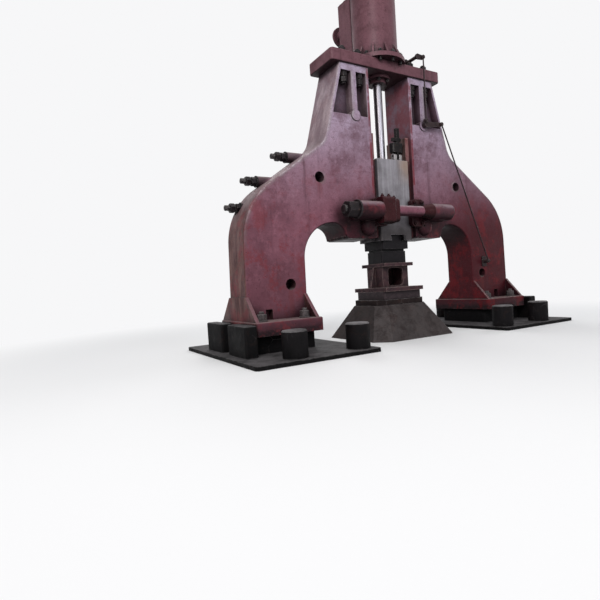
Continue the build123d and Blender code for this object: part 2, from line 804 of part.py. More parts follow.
# Shackle on the lifting eyes with its upright bar and arm
with BuildPart() as ram_shackle:
    shackle_bottom_z = ram_top_z + shackle_bottom_height
    shackle_top_z = shackle_bottom_z + shackle_height
    eye_centre_z = ram_top_z + eye_centre_height
    with BuildSketch(Plane.XY.offset(shackle_bottom_z)) as shackle_block:
        with Locations((shackle_x, eye_y)):
            Rectangle(shackle_width, shackle_depth)
        chamfer(shackle_block.vertices(), shackle_plate / 2)
    extrude(amount=shackle_height)
    with BuildSketch(Plane.YZ.offset(shackle_x - shackle_plate / 2)):
        with Locations((eye_y, eye_centre_z)):
            Circle(eye_radius)
            Rectangle(2 * eye_radius, shackle_bottom_z - eye_centre_z, align=(Align.CENTER, Align.MIN))
    extrude(amount=shackle_plate)
    with BuildSketch(Plane.YZ.offset(shackle_x - shackle_width / 2 + shackle_plate / 2)):
        with Locations((eye_y, eye_centre_z)):
            Circle(eye_pin_radius)
    extrude(amount=shackle_width - shackle_plate)
    with BuildSketch(Plane.XY.offset(shackle_top_z)):
        with Locations((hook_bar_x, eye_y)):
            Rectangle(hook_bar_width, hook_bar_depth)
    extrude(amount=hook_bar_height)
    with BuildSketch(Plane.XY.offset(shackle_top_z + hook_arm_offset)) as hook_arm:
        with Locations((hook_arm_x, eye_y)):
            RectangleRounded(hook_arm_length, hook_arm_depth, hook_arm_depth / 3)
    extrude(amount=hook_arm_height)
write(ram_shackle.part, "ram_shackle")

# Piston rod and piston
with BuildPart() as piston_rod:
    rod_bottom_z = ram_top_z - rod_socket_depth
    with BuildSketch(Plane.XY.offset(rod_bottom_z)):
        Circle(rod_radius)
    extrude(amount=piston_bottom_z + piston_height - rod_bottom_z)
write(piston_rod.part, "piston_rod")

with BuildPart() as piston:
    with BuildSketch(Plane.XY.offset(piston_bottom_z)):
        Circle(piston_radius)
        Circle(rod_radius, mode=Mode.SUBTRACT)
    extrude(amount=piston_height)
write(piston.part, "piston")

# Cylinder plate that caps both stands
with BuildPart() as cylinder_plate:
    with BuildSketch(Plane.XY.offset(stand_top_z)):
        RectangleRounded(2 * cylinder_plate_half_width, 2 * cylinder_plate_half_depth, cylinder_plate_corner)
    extrude(amount=cylinder_plate_thickness)
    fillet(cylinder_plate.faces().filter_by(Axis.Z).edges(), cylinder_plate_edge)
    with BuildSketch(Plane.XY.offset(stand_top_z)):
        Circle(gland_radius + fit_gap)
        for side, _ in sides:
            for bolt_x in plate_bolt_places_x:
                with Locations((side * bolt_x, -plate_bolt_y), (side * bolt_x, plate_bolt_y)):
                    Circle(plate_bolt_radius + fit_gap)
    extrude(amount=cylinder_plate_thickness, mode=Mode.SUBTRACT)
    with BuildSketch(Plane.XY.offset(plate_top_z)):
        with PolarLocations(flange_bolt_circle, flange_bolt_count):
            Circle(flange_bolt_radius + fit_gap)
    extrude(amount=-flange_bolt_seat, mode=Mode.SUBTRACT)
write(cylinder_plate.part, "cylinder_plate")

# Bolts of the cylinder plate, with two nuts below and one above
for side, name in sides:
    with BuildPart() as plate_bolts:
        places = [(side * bolt_x, end * plate_bolt_y) for bolt_x in plate_bolt_places_x for end, _ in ends]
        low_nut_z = pocket_roof_z - 2 * plate_nut_height - plate_nut_gap
        with BuildSketch(Plane.XY.offset(low_nut_z - plate_bolt_stickout)):
            with Locations(*places):
                Circle(plate_bolt_radius)
        extrude(amount=plate_top_z + plate_nut_height + 2 * plate_bolt_stickout - low_nut_z)
        for nut_z in (low_nut_z, pocket_roof_z - plate_nut_height, plate_top_z):
            with BuildSketch(Plane.XY.offset(nut_z)):
                with Locations(*places):
                    RegularPolygon(hexagon_radius(plate_nut_width), 6)
            extrude(amount=plate_nut_height)
    write(plate_bolts.part, f"plate_bolts_{name}")

# Cylinder
with BuildPart() as cylinder:
    with BuildSketch(Plane.XZ):
        with BuildLine():
            Polyline(
                (rod_radius + rod_clearance, plate_top_z),
                (cylinder_flange_radius, plate_top_z),
                (cylinder_flange_radius, plate_top_z + cylinder_flange_thickness),
                (cylinder_outer_radius, plate_top_z + cylinder_flange_thickness),
                (cylinder_outer_radius, cylinder_top_z - cylinder_flange_thickness),
                (cylinder_flange_radius, cylinder_top_z - cylinder_flange_thickness),
                (cylinder_flange_radius, cylinder_top_z),
                (cylinder_bore_radius, cylinder_top_z),
                (cylinder_bore_radius, plate_top_z + cylinder_floor),
                (rod_radius + rod_clearance, plate_top_z + cylinder_floor),
                close=True,
            )
        make_face()
    revolve(axis=Axis.Z)
    # Ribs midway between the bolts of the foot flange
    rib_foot_z = plate_top_z + cylinder_flange_thickness
    for rib in range(flange_bolt_count):
        with BuildSketch(Plane.XZ.rotated((0, 0, (rib + 0.5) * 360 / flange_bolt_count))):
            with BuildLine():
                Polyline(
                    (cylinder_bore_radius + cylinder_wall / 2, rib_foot_z),
                    (cylinder_flange_radius - cylinder_rib_thickness / 2, rib_foot_z),
                    (cylinder_outer_radius, rib_foot_z + cylinder_rib_height),
                    (cylinder_bore_radius + cylinder_wall / 2, rib_foot_z + cylinder_rib_height),
                    close=True,
                )
            make_face()
        extrude(amount=cylinder_rib_thickness / 2, both=True)
    for flange_z in (plate_top_z, cylinder_top_z - cylinder_flange_thickness):
        with BuildSketch(Plane.XY.offset(flange_z)):
            with PolarLocations(flange_bolt_circle, flange_bolt_count):
                Circle(flange_bolt_radius + fit_gap)
        extrude(amount=cylinder_flange_thickness, mode=Mode.SUBTRACT)
write(cylinder.part, "cylinder")

# Bolts of the cylinder's foot flange
with BuildPart() as cylinder_bolts:
    with BuildSketch(Plane.XY.offset(plate_top_z - flange_bolt_seat)):
        with PolarLocations(flange_bolt_circle, flange_bolt_count):
            Circle(flange_bolt_radius)
    extrude(amount=flange_bolt_seat + cylinder_flange_thickness + flange_nut_height + flange_bolt_stickout)
    with BuildSketch(Plane.XY.offset(plate_top_z + cylinder_flange_thickness)):
        with PolarLocations(flange_bolt_circle, flange_bolt_count):
            RegularPolygon(hexagon_radius(flange_nut_width), 6)
    extrude(amount=flange_nut_height)
write(cylinder_bolts.part, "cylinder_bolts")

# Gland under the cylinder plate
with BuildPart() as gland:
    flange_bottom_z = stand_top_z - gland_flange_thickness
    with BuildSketch(Plane.XY.offset(stand_top_z - gland_drop)):
        Circle(gland_radius)
        Circle(rod_radius + rod_clearance, mode=Mode.SUBTRACT)
    extrude(amount=gland_drop + cylinder_plate_thickness)
    with BuildSketch(Plane.XY.offset(flange_bottom_z)):
        Circle(gland_flange_radius)
        Circle(rod_radius + rod_clearance, mode=Mode.SUBTRACT)
        with PolarLocations(gland_stud_circle, gland_stud_count):
            Circle(gland_stud_radius + fit_gap, mode=Mode.SUBTRACT)
    extrude(amount=gland_flange_thickness)
write(gland.part, "gland")

with BuildPart() as gland_studs:
    with BuildSketch(Plane.XY.offset(flange_bottom_z - gland_nut_height - gland_stud_radius)):
        with PolarLocations(gland_stud_circle, gland_stud_count):
            Circle(gland_stud_radius)
    extrude(amount=gland_stud_radius + gland_nut_height + gland_flange_thickness)
    with BuildSketch(Plane.XY.offset(flange_bottom_z - gland_nut_height)):
        with PolarLocations(gland_stud_circle, gland_stud_count):
            RegularPolygon(hexagon_radius(gland_nut_width), 6)
    extrude(amount=gland_nut_height)
write(gland_studs.part, "gland_studs")

# Cylinder cover with its dome
with BuildPart() as cylinder_cover:
    cover_top_z = cylinder_top_z + cover_thickness
    with BuildSketch(Plane.XZ) as cover_section:
        with BuildLine():
            Polyline(
                (0, cylinder_top_z),
                (cylinder_flange_radius, cylinder_top_z),
                (cylinder_flange_radius, cover_top_z),
                (cover_dome_radius, cover_top_z),
                (cover_dome_radius, cover_top_z + cover_dome_height),
                (0, cover_top_z + cover_dome_height),
                close=True,
            )
        make_face()
        fillet(cover_section.vertices().group_by(Axis.Y)[-1].sort_by(Axis.X)[-1], cover_dome_round)
    revolve(axis=Axis.Z)
    with BuildSketch(Plane.XY.offset(cylinder_top_z)):
        with PolarLocations(flange_bolt_circle, flange_bolt_count):
            Circle(flange_bolt_radius + fit_gap)
    extrude(amount=cover_thickness, mode=Mode.SUBTRACT)
write(cylinder_cover.part, "cylinder_cover")

with BuildPart() as cover_bolts:
    low_nut_z = cylinder_top_z - cylinder_flange_thickness - flange_nut_height
    with BuildSketch(Plane.XY.offset(low_nut_z - flange_bolt_stickout)):
        with PolarLocations(flange_bolt_circle, flange_bolt_count):
            Circle(flange_bolt_radius)
    extrude(amount=cover_top_z + flange_nut_height + 2 * flange_bolt_stickout - low_nut_z)
    for nut_z in (low_nut_z, cover_top_z):
        with BuildSketch(Plane.XY.offset(nut_z)):
            with PolarLocations(flange_bolt_circle, flange_bolt_count):
                RegularPolygon(hexagon_radius(flange_nut_width), 6)
        extrude(amount=flange_nut_height)
write(cover_bolts.part, "cover_bolts")

# Valve chest on the back of the cylinder with its steam inlet and exhaust
with BuildPart() as valve_chest:
    with BuildSketch(Plane.XY.offset(chest_bottom_z)):
        with Locations((0, (chest_inner_y + chest_outer_y) / 2)):
            RectangleRounded(2 * chest_half_width, chest_outer_y - chest_inner_y, edge_round)
        Circle(cylinder_outer_radius + fit_gap, mode=Mode.SUBTRACT)
    extrude(amount=chest_height)
    for offset_z in (inlet_offset, exhaust_offset):
        with BuildSketch(Plane.XZ.offset(-chest_outer_y)):
            with Locations((0, chest_bottom_z + offset_z)):
                Circle(inlet_pipe_radius)
        extrude(amount=-inlet_length)
        with BuildSketch(Plane.XZ.offset(-chest_outer_y - inlet_length + inlet_flange_thickness)):
            with Locations((0, chest_bottom_z + offset_z)):
                Circle(inlet_flange_radius)
        extrude(amount=-inlet_flange_thickness)
        with BuildSketch(Plane.XZ.offset(-chest_outer_y - inlet_length)):
            with Locations((0, chest_bottom_z + offset_z)):
                Circle(inlet_radius)
        extrude(amount=inlet_length, mode=Mode.SUBTRACT)
        with BuildSketch(Plane.XZ.offset(-chest_outer_y - inlet_length)):
            with Locations((0, chest_bottom_z + offset_z)):
                with PolarLocations(steam_bolt_circle, steam_bolt_count):
                    Circle(steam_bolt_radius)
        extrude(amount=inlet_flange_thickness, mode=Mode.SUBTRACT)
write(valve_chest.part, "valve_chest")

with BuildPart() as chest_cover:
    with BuildSketch(Plane.XY.offset(chest_bottom_z + chest_height)):
        with Locations((0, (chest_inner_y + chest_outer_y) / 2)):
            RectangleRounded(2 * chest_half_width, chest_outer_y - chest_inner_y, edge_round)
        Circle(cylinder_outer_radius + fit_gap, mode=Mode.SUBTRACT)
    extrude(amount=chest_cover_thickness)
write(chest_cover.part, "chest_cover")

# Control linkage on the front of the right stand
lever_face_y = control_y + control_arm_depth / 2
rod_face_y = lever_face_y + fit_gap + control_arm_depth
crank_x = control_inner_x - control_crank_length
crank_z = plate_top_z + control_shaft_height
with BuildPart() as control_lever:
    for eye_x, eye_z in ((control_outer_x, control_outer_z), (control_inner_x, control_inner_z)):
        with BuildSketch(Plane.XZ.offset(lever_face_y)):
            with Locations((pocket_rib_x, pocket_floor_z)):
                Circle(control_hub_radius)
            with Locations((eye_x, eye_z)):
                Circle(control_eye_radius)
            make_hull()
        extrude(amount=-control_arm_depth)
        with BuildSketch(Plane.XZ.offset(lever_face_y)):
            with Locations((eye_x, eye_z)):
                Circle(control_pin_radius)
        extrude(amount=rod_face_y + control_rod_radius - lever_face_y)
    with BuildSketch(Plane.XZ.offset(stand_half_depth + pocket_boss_height)):
        with Locations((pocket_rib_x, pocket_floor_z)):
            Circle(control_hub_radius)
    extrude(amount=lever_face_y - stand_half_depth - pocket_boss_height)
write(control_lever.part, "control_lever")

# Shaft across the cylinder plate with its crank at the front
with BuildPart() as control_shaft:
    with BuildSketch(Plane.XZ.offset(lever_face_y)):
        with Locations((crank_x, crank_z)):
            Circle(control_hub_radius)
        with Locations((control_inner_x, crank_z)):
            Circle(control_eye_radius)
        make_hull()
    extrude(amount=-control_arm_depth)
    with BuildSketch(Plane.XZ.offset(lever_face_y)):
        with Locations((control_inner_x, crank_z)):
            Circle(control_pin_radius)
    extrude(amount=rod_face_y + control_rod_radius - lever_face_y)
    with BuildSketch(Plane.XZ.offset(lever_face_y)):
        with Locations((crank_x, crank_z)):
            Circle(control_shaft_radius)
    extrude(amount=-lever_face_y - control_bearing_y - control_bearing_depth)
write(control_shaft.part, "control_shaft")

with BuildPart() as control_bearings:
    for end, _ in ends:
        with BuildSketch(Plane.XZ.offset(-end * control_bearing_y)):
            with Locations((crank_x, plate_top_z)):
                Rectangle(control_bearing_width, control_shaft_height, align=(Align.CENTER, Align.MIN))
            with Locations((crank_x, crank_z)):
                Circle(control_bearing_width / 2)
                Circle(control_shaft_radius + fit_gap, mode=Mode.SUBTRACT)
        extrude(amount=control_bearing_depth / 2, both=True)
write(control_bearings.part, "control_bearings")

# Rods of the linkage with an eye at each end
for name, low, high in (
    ("control_rod_upper", (control_inner_x, control_inner_z), (control_inner_x, crank_z)),
    ("control_rod", (control_low_x, control_low_z), (control_outer_x, control_outer_z)),
):
    with BuildPart() as linkage_rod:
        run = hypot(high[0] - low[0], high[1] - low[1])
        with BuildSketch(Plane.XZ.offset(rod_face_y)):
            with Locations(low, high):
                Circle(control_eye_radius)
        extrude(amount=-control_arm_depth)
        start_plane = Plane(
            origin=(low[0], -rod_face_y + control_arm_depth / 2, low[1]),
            z_dir=((high[0] - low[0]) / run, 0, (high[1] - low[1]) / run),
        )
        with BuildSketch(start_plane):
            Circle(control_rod_radius)
        extrude(amount=run)
        with BuildSketch(Plane.XZ.offset(rod_face_y)):
            with Locations(low, high):
                Circle(control_pin_radius + fit_gap)
        extrude(amount=-control_arm_depth, mode=Mode.SUBTRACT)
    write(linkage_rod.part, name)

# Bracket on the right leg that holds the low end of the rod
with BuildPart() as control_bracket:
    with BuildSketch(Plane.XZ.offset(stand_half_depth)):
        with Locations((control_low_x, control_low_z)):
            Rectangle(control_bracket_width, control_bracket_height)
    extrude(amount=control_bracket_thickness)
    with BuildSketch(Plane.XZ.offset(stand_half_depth)):
        with Locations((control_low_x, control_low_z)):
            Circle(control_eye_radius)
    extrude(amount=lever_face_y - stand_half_depth)
    with BuildSketch(Plane.XZ.offset(lever_face_y)):
        with Locations((control_low_x, control_low_z)):
            Circle(control_pin_radius)
    extrude(amount=rod_face_y + control_rod_radius - lever_face_y)
write(control_bracket.part, "control_bracket")
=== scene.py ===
"""Looks of the arch-frame forging hammer: materials, small pieces, floor, light, world and camera."""

import math
import random
from collections import namedtuple

import bmesh
import bpy
from mathutils import Matrix, Vector


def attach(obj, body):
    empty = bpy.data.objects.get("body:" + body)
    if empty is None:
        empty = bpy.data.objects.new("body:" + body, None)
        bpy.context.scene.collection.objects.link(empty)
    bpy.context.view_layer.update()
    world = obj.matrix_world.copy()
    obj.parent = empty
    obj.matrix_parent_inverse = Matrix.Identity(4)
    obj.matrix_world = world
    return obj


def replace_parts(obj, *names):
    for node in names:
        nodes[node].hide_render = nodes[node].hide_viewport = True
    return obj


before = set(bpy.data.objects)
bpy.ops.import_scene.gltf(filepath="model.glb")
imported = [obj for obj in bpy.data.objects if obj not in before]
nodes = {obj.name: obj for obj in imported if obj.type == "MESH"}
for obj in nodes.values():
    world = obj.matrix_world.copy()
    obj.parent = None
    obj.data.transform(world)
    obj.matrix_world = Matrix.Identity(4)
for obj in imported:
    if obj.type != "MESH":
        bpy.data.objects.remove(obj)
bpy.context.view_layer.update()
random.seed(7)

# Camera, solved from the photograph: place in metres, angles in degrees, focal length in pixels of the frame
CAMERA_PLACE = Vector((-5.963, -6.860, 1.079))
YAW, PITCH, ROLL = (math.radians(a) for a in (30.085, -1.923, -3.572))
FOCAL_PX = 460.86
FRAME_PX = 600
SENSOR_MM = 36.0

# Heights repeated from the CAD, in metres
FLANGE_TOP = 0.550
PROP_BASE, PROP_TOP = 0.922, 1.313
CLAMP_TOP, FLARE_TOP = 2.525, 2.497
PLATE_TOP = 5.090
CHEST_TOP = 6.605
COVER_TOP = 6.971

# Places repeated from the CAD, in metres from the middle of the machine
TIE_Y, TIE_Z = 0.600, 2.290
FOOT_BOLT_X, FOOT_BOLT_Y = (2.215, 2.975), 0.510
GUIDE_BOLT_Y = 0.200
GUIDE_BOLT_SEATS = ((2.885, 2.390), (2.575, 2.845), (1.985, 3.300))
PLATE_BOLT_X, PLATE_BOLT_Y = (0.630, 0.975), 0.245
COVER_BOLT_COUNT, COVER_BOLT_CIRCLE = 12, 0.4775
CLAMP_BOLTS = ((-0.540, CLAMP_TOP), (-0.395, CLAMP_TOP), (-0.275, FLARE_TOP))
RETAINER_X, RETAINER_Z = (-0.545, -0.365, 0.365, 0.545), (2.095, 2.485)
RETAINER_FACE = 0.445
CHEST_BOLT_X, CHEST_BOLT_Y = (-0.19, 0.19), (0.47, 0.61, 0.75)
PROP_SIDE, PROP_FACE = 0.315, 0.225
GUSSET_HALF, GUSSET_TOE = 0.021, 0.439

# Where the stands' marks begin and end, in metres; the fall is how far the shoulder runs out per metre down
POCKET_HEIGHTS = (3.99, 4.77)
SHOULDER_HEIGHTS = (2.2, 3.43)
TIE_BOSS_HEIGHTS = (1.7, 2.6)
GUIDE_EDGE_REACH, GUIDE_EDGE_HEIGHTS = (0.478, 0.53), (2.6, 4.85)
FACE_DEPTH = (0.3, 0.32)
SHOULDER_FOOT, SHOULDER_FALL, SHOULDER_END = 2.38, 1.45, (3.1, 3.17)


class Tree:
    """A material's node tree with short calls for the nodes that are used often."""

    def __init__(self, name):
        self.material = bpy.data.materials.new(name)
        self.material.use_nodes = True
        self.tree = self.material.node_tree
        self.tree.nodes.clear()
        self.out = self.tree.nodes.new("ShaderNodeOutputMaterial")
        self.bsdf = self.tree.nodes.new("ShaderNodeBsdfPrincipled")
        self.tree.links.new(self.bsdf.outputs[0], self.out.inputs[0])
        self.coords = self.tree.nodes.new("ShaderNodeTexCoord").outputs["Object"]
        self.geometry = self.tree.nodes.new("ShaderNodeNewGeometry")
        parts = self.tree.nodes.new("ShaderNodeSeparateXYZ")
        self.tree.links.new(self.coords, parts.inputs[0])
        self.x, self.y, self.z = parts.outputs
        facing = self.tree.nodes.new("ShaderNodeSeparateXYZ")
        self.tree.links.new(self.geometry.outputs["Normal"], facing.inputs[0])
        self.nx, self.ny, self.nz = facing.outputs

    def put(self, socket, value):
        """Links a socket to another socket, or sets its value."""
        if isinstance(value, bpy.types.NodeSocket):
            self.tree.links.new(value, socket)
        elif isinstance(value, tuple) and len(value) == 3 and socket.type == "RGBA":
            socket.default_value = (*value, 1)
        else:
            socket.default_value = value

    def math(self, operation, a, b=0.0):
        node = self.tree.nodes.new("ShaderNodeMath")
        node.operation = operation
        for socket, value in zip(node.inputs, (a, b)):
            self.put(socket, value)
        return node.outputs[0]

    def mul(self, a, b):
        return self.math("MULTIPLY", a, b)

    def add(self, a, b):
        return self.math("ADD", a, b)

    def most(self, a, b):
        return self.math("MAXIMUM", a, b)

    def step(self, value, low, high, to_low=0.0, to_high=1.0):
        """A smooth step of a value between two bounds."""
        node = self.tree.nodes.new("ShaderNodeMapRange")
        node.interpolation_type = "SMOOTHSTEP"
        for socket, part in zip(node.inputs, (value, low, high, to_low, to_high)):
            self.put(socket, part)
        return node.outputs[0]

    def drop(self, value, low, high):
        """A smooth step down from 1 to 0."""
        return self.step(value, low, high, 1.0, 0.0)

    def ragged(self, value, noise, amount):
        """A value made uneven by some noise."""
        return self.add(value, self.mul(noise, amount))

    def mix(self, factor, a, b):
        """Mixes two colours."""
        node = self.tree.nodes.new("ShaderNodeMix")
        node.data_type = "RGBA"
        self.put(node.inputs[0], factor)
        self.put(node.inputs[6], a)
        self.put(node.inputs[7], b)
        return node.outputs[2]

    def blend(self, factor, a, b):
        """Mixes two numbers."""
        node = self.tree.nodes.new("ShaderNodeMix")
        self.put(node.inputs[0], factor)
        self.put(node.inputs[2], a)
        self.put(node.inputs[3], b)
        return node.outputs[0]

    def scaled(self, scale, turn=(0, 0, 0)):
        """The coordinates turned and scaled, so that a texture is stretched."""
        node = self.tree.nodes.new("ShaderNodeMapping")
        self.put(node.inputs["Vector"], self.coords)
        node.inputs["Scale"].default_value = scale
        node.inputs["Rotation"].default_value = turn
        return node.outputs[0]

    def noise(self, scale, detail=4.0, rough=0.6, vector=None, distortion=0.0):
        node = self.tree.nodes.new("ShaderNodeTexNoise")
        self.put(node.inputs["Vector"], vector or self.coords)
        node.inputs["Scale"].default_value = scale
        node.inputs["Detail"].default_value = detail
        node.inputs["Roughness"].default_value = rough
        node.inputs["Distortion"].default_value = distortion
        return node.outputs[0]

    def spots(self, scale, low, high, vector=None):
        """Round spots, 1 at their centres."""
        node = self.tree.nodes.new("ShaderNodeTexVoronoi")
        self.put(node.inputs["Vector"], vector or self.coords)
        node.inputs["Scale"].default_value = scale
        return self.drop(node.outputs["Distance"], low, high)

    def scratches(self, scale, vector, low, high):
        """Fine lines where cells meet."""
        node = self.tree.nodes.new("ShaderNodeTexVoronoi")
        node.feature = "DISTANCE_TO_EDGE"
        self.put(node.inputs["Vector"], vector)
        node.inputs["Scale"].default_value = scale
        return self.drop(node.outputs["Distance"], low, high)

    def edges(self, radius, low, high):
        """1 near sharp edges."""
        bevel = self.tree.nodes.new("ShaderNodeBevel")
        bevel.samples = 6
        bevel.inputs["Radius"].default_value = radius
        dot = self.tree.nodes.new("ShaderNodeVectorMath")
        dot.operation = "DOT_PRODUCT"
        self.put(dot.inputs[0], bevel.outputs[0])
        self.put(dot.inputs[1], self.geometry.outputs["Normal"])
        return self.step(self.math("SUBTRACT", 1.0, dot.outputs["Value"]), low, high)

    def turned(self, radius):
        """How far the surface would face +X if its edges were widely rounded."""
        bevel = self.tree.nodes.new("ShaderNodeBevel")
        bevel.samples = 8
        bevel.inputs["Radius"].default_value = radius
        parts = self.tree.nodes.new("ShaderNodeSeparateXYZ")
        self.put(parts.inputs[0], bevel.outputs[0])
        return parts.outputs["X"]

    def hollows(self, distance):
        """1 in corners and under ledges."""
        node = self.tree.nodes.new("ShaderNodeAmbientOcclusion")
        node.samples = 8
        node.inputs["Distance"].default_value = distance
        return self.drop(node.outputs["AO"], 0.35, 0.95)

    def band(self, socket, low, high, soft=0.02):
        """1 where a value lies between two bounds."""
        rise = self.step(socket, low - soft, low + soft)
        fall = self.drop(socket, high - soft, high + soft)
        return self.mul(rise, fall)

    def over(self, colour, mask, amount, coat):
        """Lays a second colour over a first where the mask is 1, by the given amount."""
        return self.mix(self.mul(mask, amount), colour, coat)

    def rubbed(self, radius, low, high, patches, start, full):
        """1 along sharp edges, broken into patches."""
        return self.mul(self.edges(radius, low, high), self.step(patches, start, full))

    def settled(self, steep, level, patches, start, full, least):
        """1 on surfaces that face up, thinned to the least value between patches."""
        return self.mul(self.step(self.nz, steep, level), self.step(patches, start, full, least, 1.0))

    def finish(self, colour, rough, metallic, height, strength, depth, round_edges, **constants):
        """Wires the shader: colour, roughness, bump over rounded edges, and constants by socket name."""
        self.put(self.bsdf.inputs["Base Color"], colour)
        self.put(self.bsdf.inputs["Roughness"], rough)
        self.put(self.bsdf.inputs["Metallic"], metallic)
        for key, value in constants.items():
            self.bsdf.inputs[key.replace("_", " ")].default_value = value
        bevel = self.tree.nodes.new("ShaderNodeBevel")
        bevel.samples = 4
        bevel.inputs["Radius"].default_value = round_edges
        bump = self.tree.nodes.new("ShaderNodeBump")
        bump.inputs["Strength"].default_value = strength
        bump.inputs["Distance"].default_value = depth
        self.put(bump.inputs["Height"], height)
        self.put(bump.inputs["Normal"], bevel.outputs[0])
        self.put(self.bsdf.inputs["Normal"], bump.outputs[0])
        return self.material


def shade(colour, factor, lift=0.0):
    """A darker or lighter version of a colour."""
    return tuple(min(1, part * factor + lift) for part in colour)


# Castings: colours
PRIMER = (0.02, 0.012, 0.013)
PIT = (0.014, 0.006, 0.008)


def cast_paint(name, high, low, dust, corner_grime_and_shade, dust_amount=1.0, gloss=0.46, tone=None, specular=0.12):
    """Worn paint over a rough casting: tone by height, paler towards the top partly as painted light, runs,
    chips, pits, dirt and painted shade in corners, painted shade on undersides, scuffed edges and dust.
    """
    t = Tree(name)
    # Paler towards the top: partly the paint's own tone, partly painted light from above
    height_mix = t.step(t.add(t.z, t.noise(0.9, 4)), 2.5, 5.7)
    colour = t.mix(height_mix, low, high)
    clouds = t.noise(1.7, 7, 0.66)
    colour = t.mix(t.step(clouds, 0.44, 0.66, 0.0, 0.62), colour, shade(low, 0.48))
    patches = t.noise(5.5, 8, 0.74)
    faded = t.mix(height_mix, shade(low, 1.25, 0.008), shade(high, 1.12))
    colour = t.mix(t.step(patches, 0.48, 0.66, 0.0, 0.75), colour, faded)
    mottle = t.noise(13, 7, 0.74)
    colour = t.mix(t.step(mottle, 0.5, 0.68, 0.0, 0.45), colour, shade(low, 0.42))
    # Scraped and wiped bands that run with the casting
    wiped = t.noise(1.0, 6, 0.7, t.scaled((1.2, 1.2, 16), (0, 0.12, 0)))
    colour = t.mix(t.step(wiped, 0.56, 0.72, 0.0, 0.35), colour, shade(low, 0.5))
    if tone is not None:
        colour = tone(t, colour)
    # Vertical runs of oil and washed dust
    runs = t.noise(1.0, 6, 0.66, t.scaled((7, 7, 0.35)))
    colour = t.mix(t.step(runs, 0.54, 0.78, 0.0, 0.6), colour, shade(low, 0.3))
    pale_runs = t.noise(1.0, 6, 0.7, t.scaled((11, 11, 0.5), (0, 0, 0.5)))
    colour = t.over(colour, t.step(pale_runs, 0.58, 0.8), t.blend(height_mix, 0.08, 0.34 * dust_amount), dust)
    # Fine speckle, chips down to dark primer and small casting pits
    speckle = t.noise(48, 6, 0.75)
    colour = t.mix(t.step(speckle, 0.42, 0.68, 0.0, 0.35), colour, shade(low, 0.45))
    chips = t.mul(t.step(t.noise(19, 6, 0.72), 0.63, 0.67), t.step(patches, 0.46, 0.6))
    colour = t.over(colour, chips, 0.75, PRIMER)
    # Painted shade on the undersides
    underside_shade = t.drop(t.ragged(t.nz, t.math("SUBTRACT", patches, 0.5), 0.5), -0.85, -0.22)
    colour = t.over(colour, underside_shade, 0.88, shade(low, 0.1))
    pits = t.mul(t.spots(24, 0.02, 0.1), t.step(t.noise(5, 3), 0.5, 0.62))
    dents = t.spots(9, 0.03, 0.11, t.scaled((1, 1, 1.7), (0, 0.4, 0)))
    pits = t.most(pits, t.mul(dents, t.step(t.noise(3.1, 4), 0.5, 0.58)))
    colour = t.over(colour, pits, 0.8, PIT)
    nicks = t.scratches(2.6, t.scaled((1, 1, 4.5), (0, 0.2, 0)), 0.0, 0.012)
    nicks = t.mul(nicks, t.step(t.noise(2.9, 5, 0.7), 0.54, 0.62))
    colour = t.over(colour, nicks, 0.55, shade(low, 0.3))
    # Scuffed edges, dirt and painted shade in corners, dust on what faces up
    worn = t.rubbed(0.022, 0.02, 0.22, t.noise(13, 6, 0.74), 0.46, 0.66)
    colour = t.over(colour, t.hollows(0.25), 0.8, corner_grime_and_shade)
    colour = t.over(colour, worn, 0.5, shade(dust, 0.85, 0.03))
    lying = t.settled(0.45, 0.97, t.noise(6, 6, 0.7), 0.3, 0.62, 0.35)
    colour = t.over(colour, lying, min(1.0, 0.75 * dust_amount), dust)
    rough = t.blend(t.step(clouds, 0.35, 0.7), gloss - 0.08, gloss + 0.14)
    rough = t.blend(t.most(lying, chips), rough, 0.85)
    rough = t.blend(t.mul(t.step(runs, 0.6, 0.8), 0.6), rough, 0.28)
    grain = t.add(t.mul(t.noise(75, 5, 0.6), 0.4), t.mul(t.noise(11, 4, 0.55), 0.8))
    grain = t.math("SUBTRACT", grain, t.mul(t.add(chips, pits), 0.6))
    return t.finish(colour, rough, 0.0, grain, 0.5, 0.005, 0.012, Specular_IOR_Level=specular)


# Stands: colours
LEG_MAROON = (0.07, 0.02, 0.027)
INNER_BROWN = (0.085, 0.045, 0.058)
SIDE_SOOT = (0.034, 0.011, 0.009)
SIDE_BROWN = (0.15, 0.08, 0.066)
SLOPE_SOOT = (0.075, 0.055, 0.06)
SLOPE_DUST = (0.19, 0.155, 0.16)
UPPER_SOOT = (0.15, 0.1, 0.11)
UPPER_DUST = (0.36, 0.285, 0.3)
RIM_BROWN = (0.13, 0.085, 0.09)
RIM_DUST = (0.24, 0.2, 0.225)
RIM_HIGHLIGHT = (0.48, 0.43, 0.46)
RIGHT_LEG_SHADE_RED = (0.045, 0.0018, 0.0045)
SOFFIT_BLACK = (0.006, 0.002, 0.003)
SOFFIT_RED = (0.024, 0.0015, 0.003)
BOSS_GREASE = (0.018, 0.003, 0.005)
BOSS_RED = (0.065, 0.01, 0.018)
BOSS_MAUVE = (0.085, 0.035, 0.048)
RUBBED_AND_LIT_PAINT = (0.27, 0.19, 0.23)
NOSE_SHADE = (0.004, 0.0015, 0.002)
NOSE_SHADE_RED = (0.03, 0.004, 0.008)
POCKET_SHADE = (0.045, 0.026, 0.038)
SEAT_SOOT = (0.018, 0.01, 0.011)
SEAT_DUST = (0.1, 0.076, 0.083)
FLANGE_DARK = (0.035, 0.014, 0.018)
FLANGE_BLACK = (0.008, 0.006, 0.007)
STREAK_RUST = (0.13, 0.02, 0.018)
RED_LEAD = (0.15, 0.024, 0.03)
SHADED_RED_LEAD = (0.13, 0.006, 0.009)
STRIPE_RED = (0.15, 0.016, 0.02)


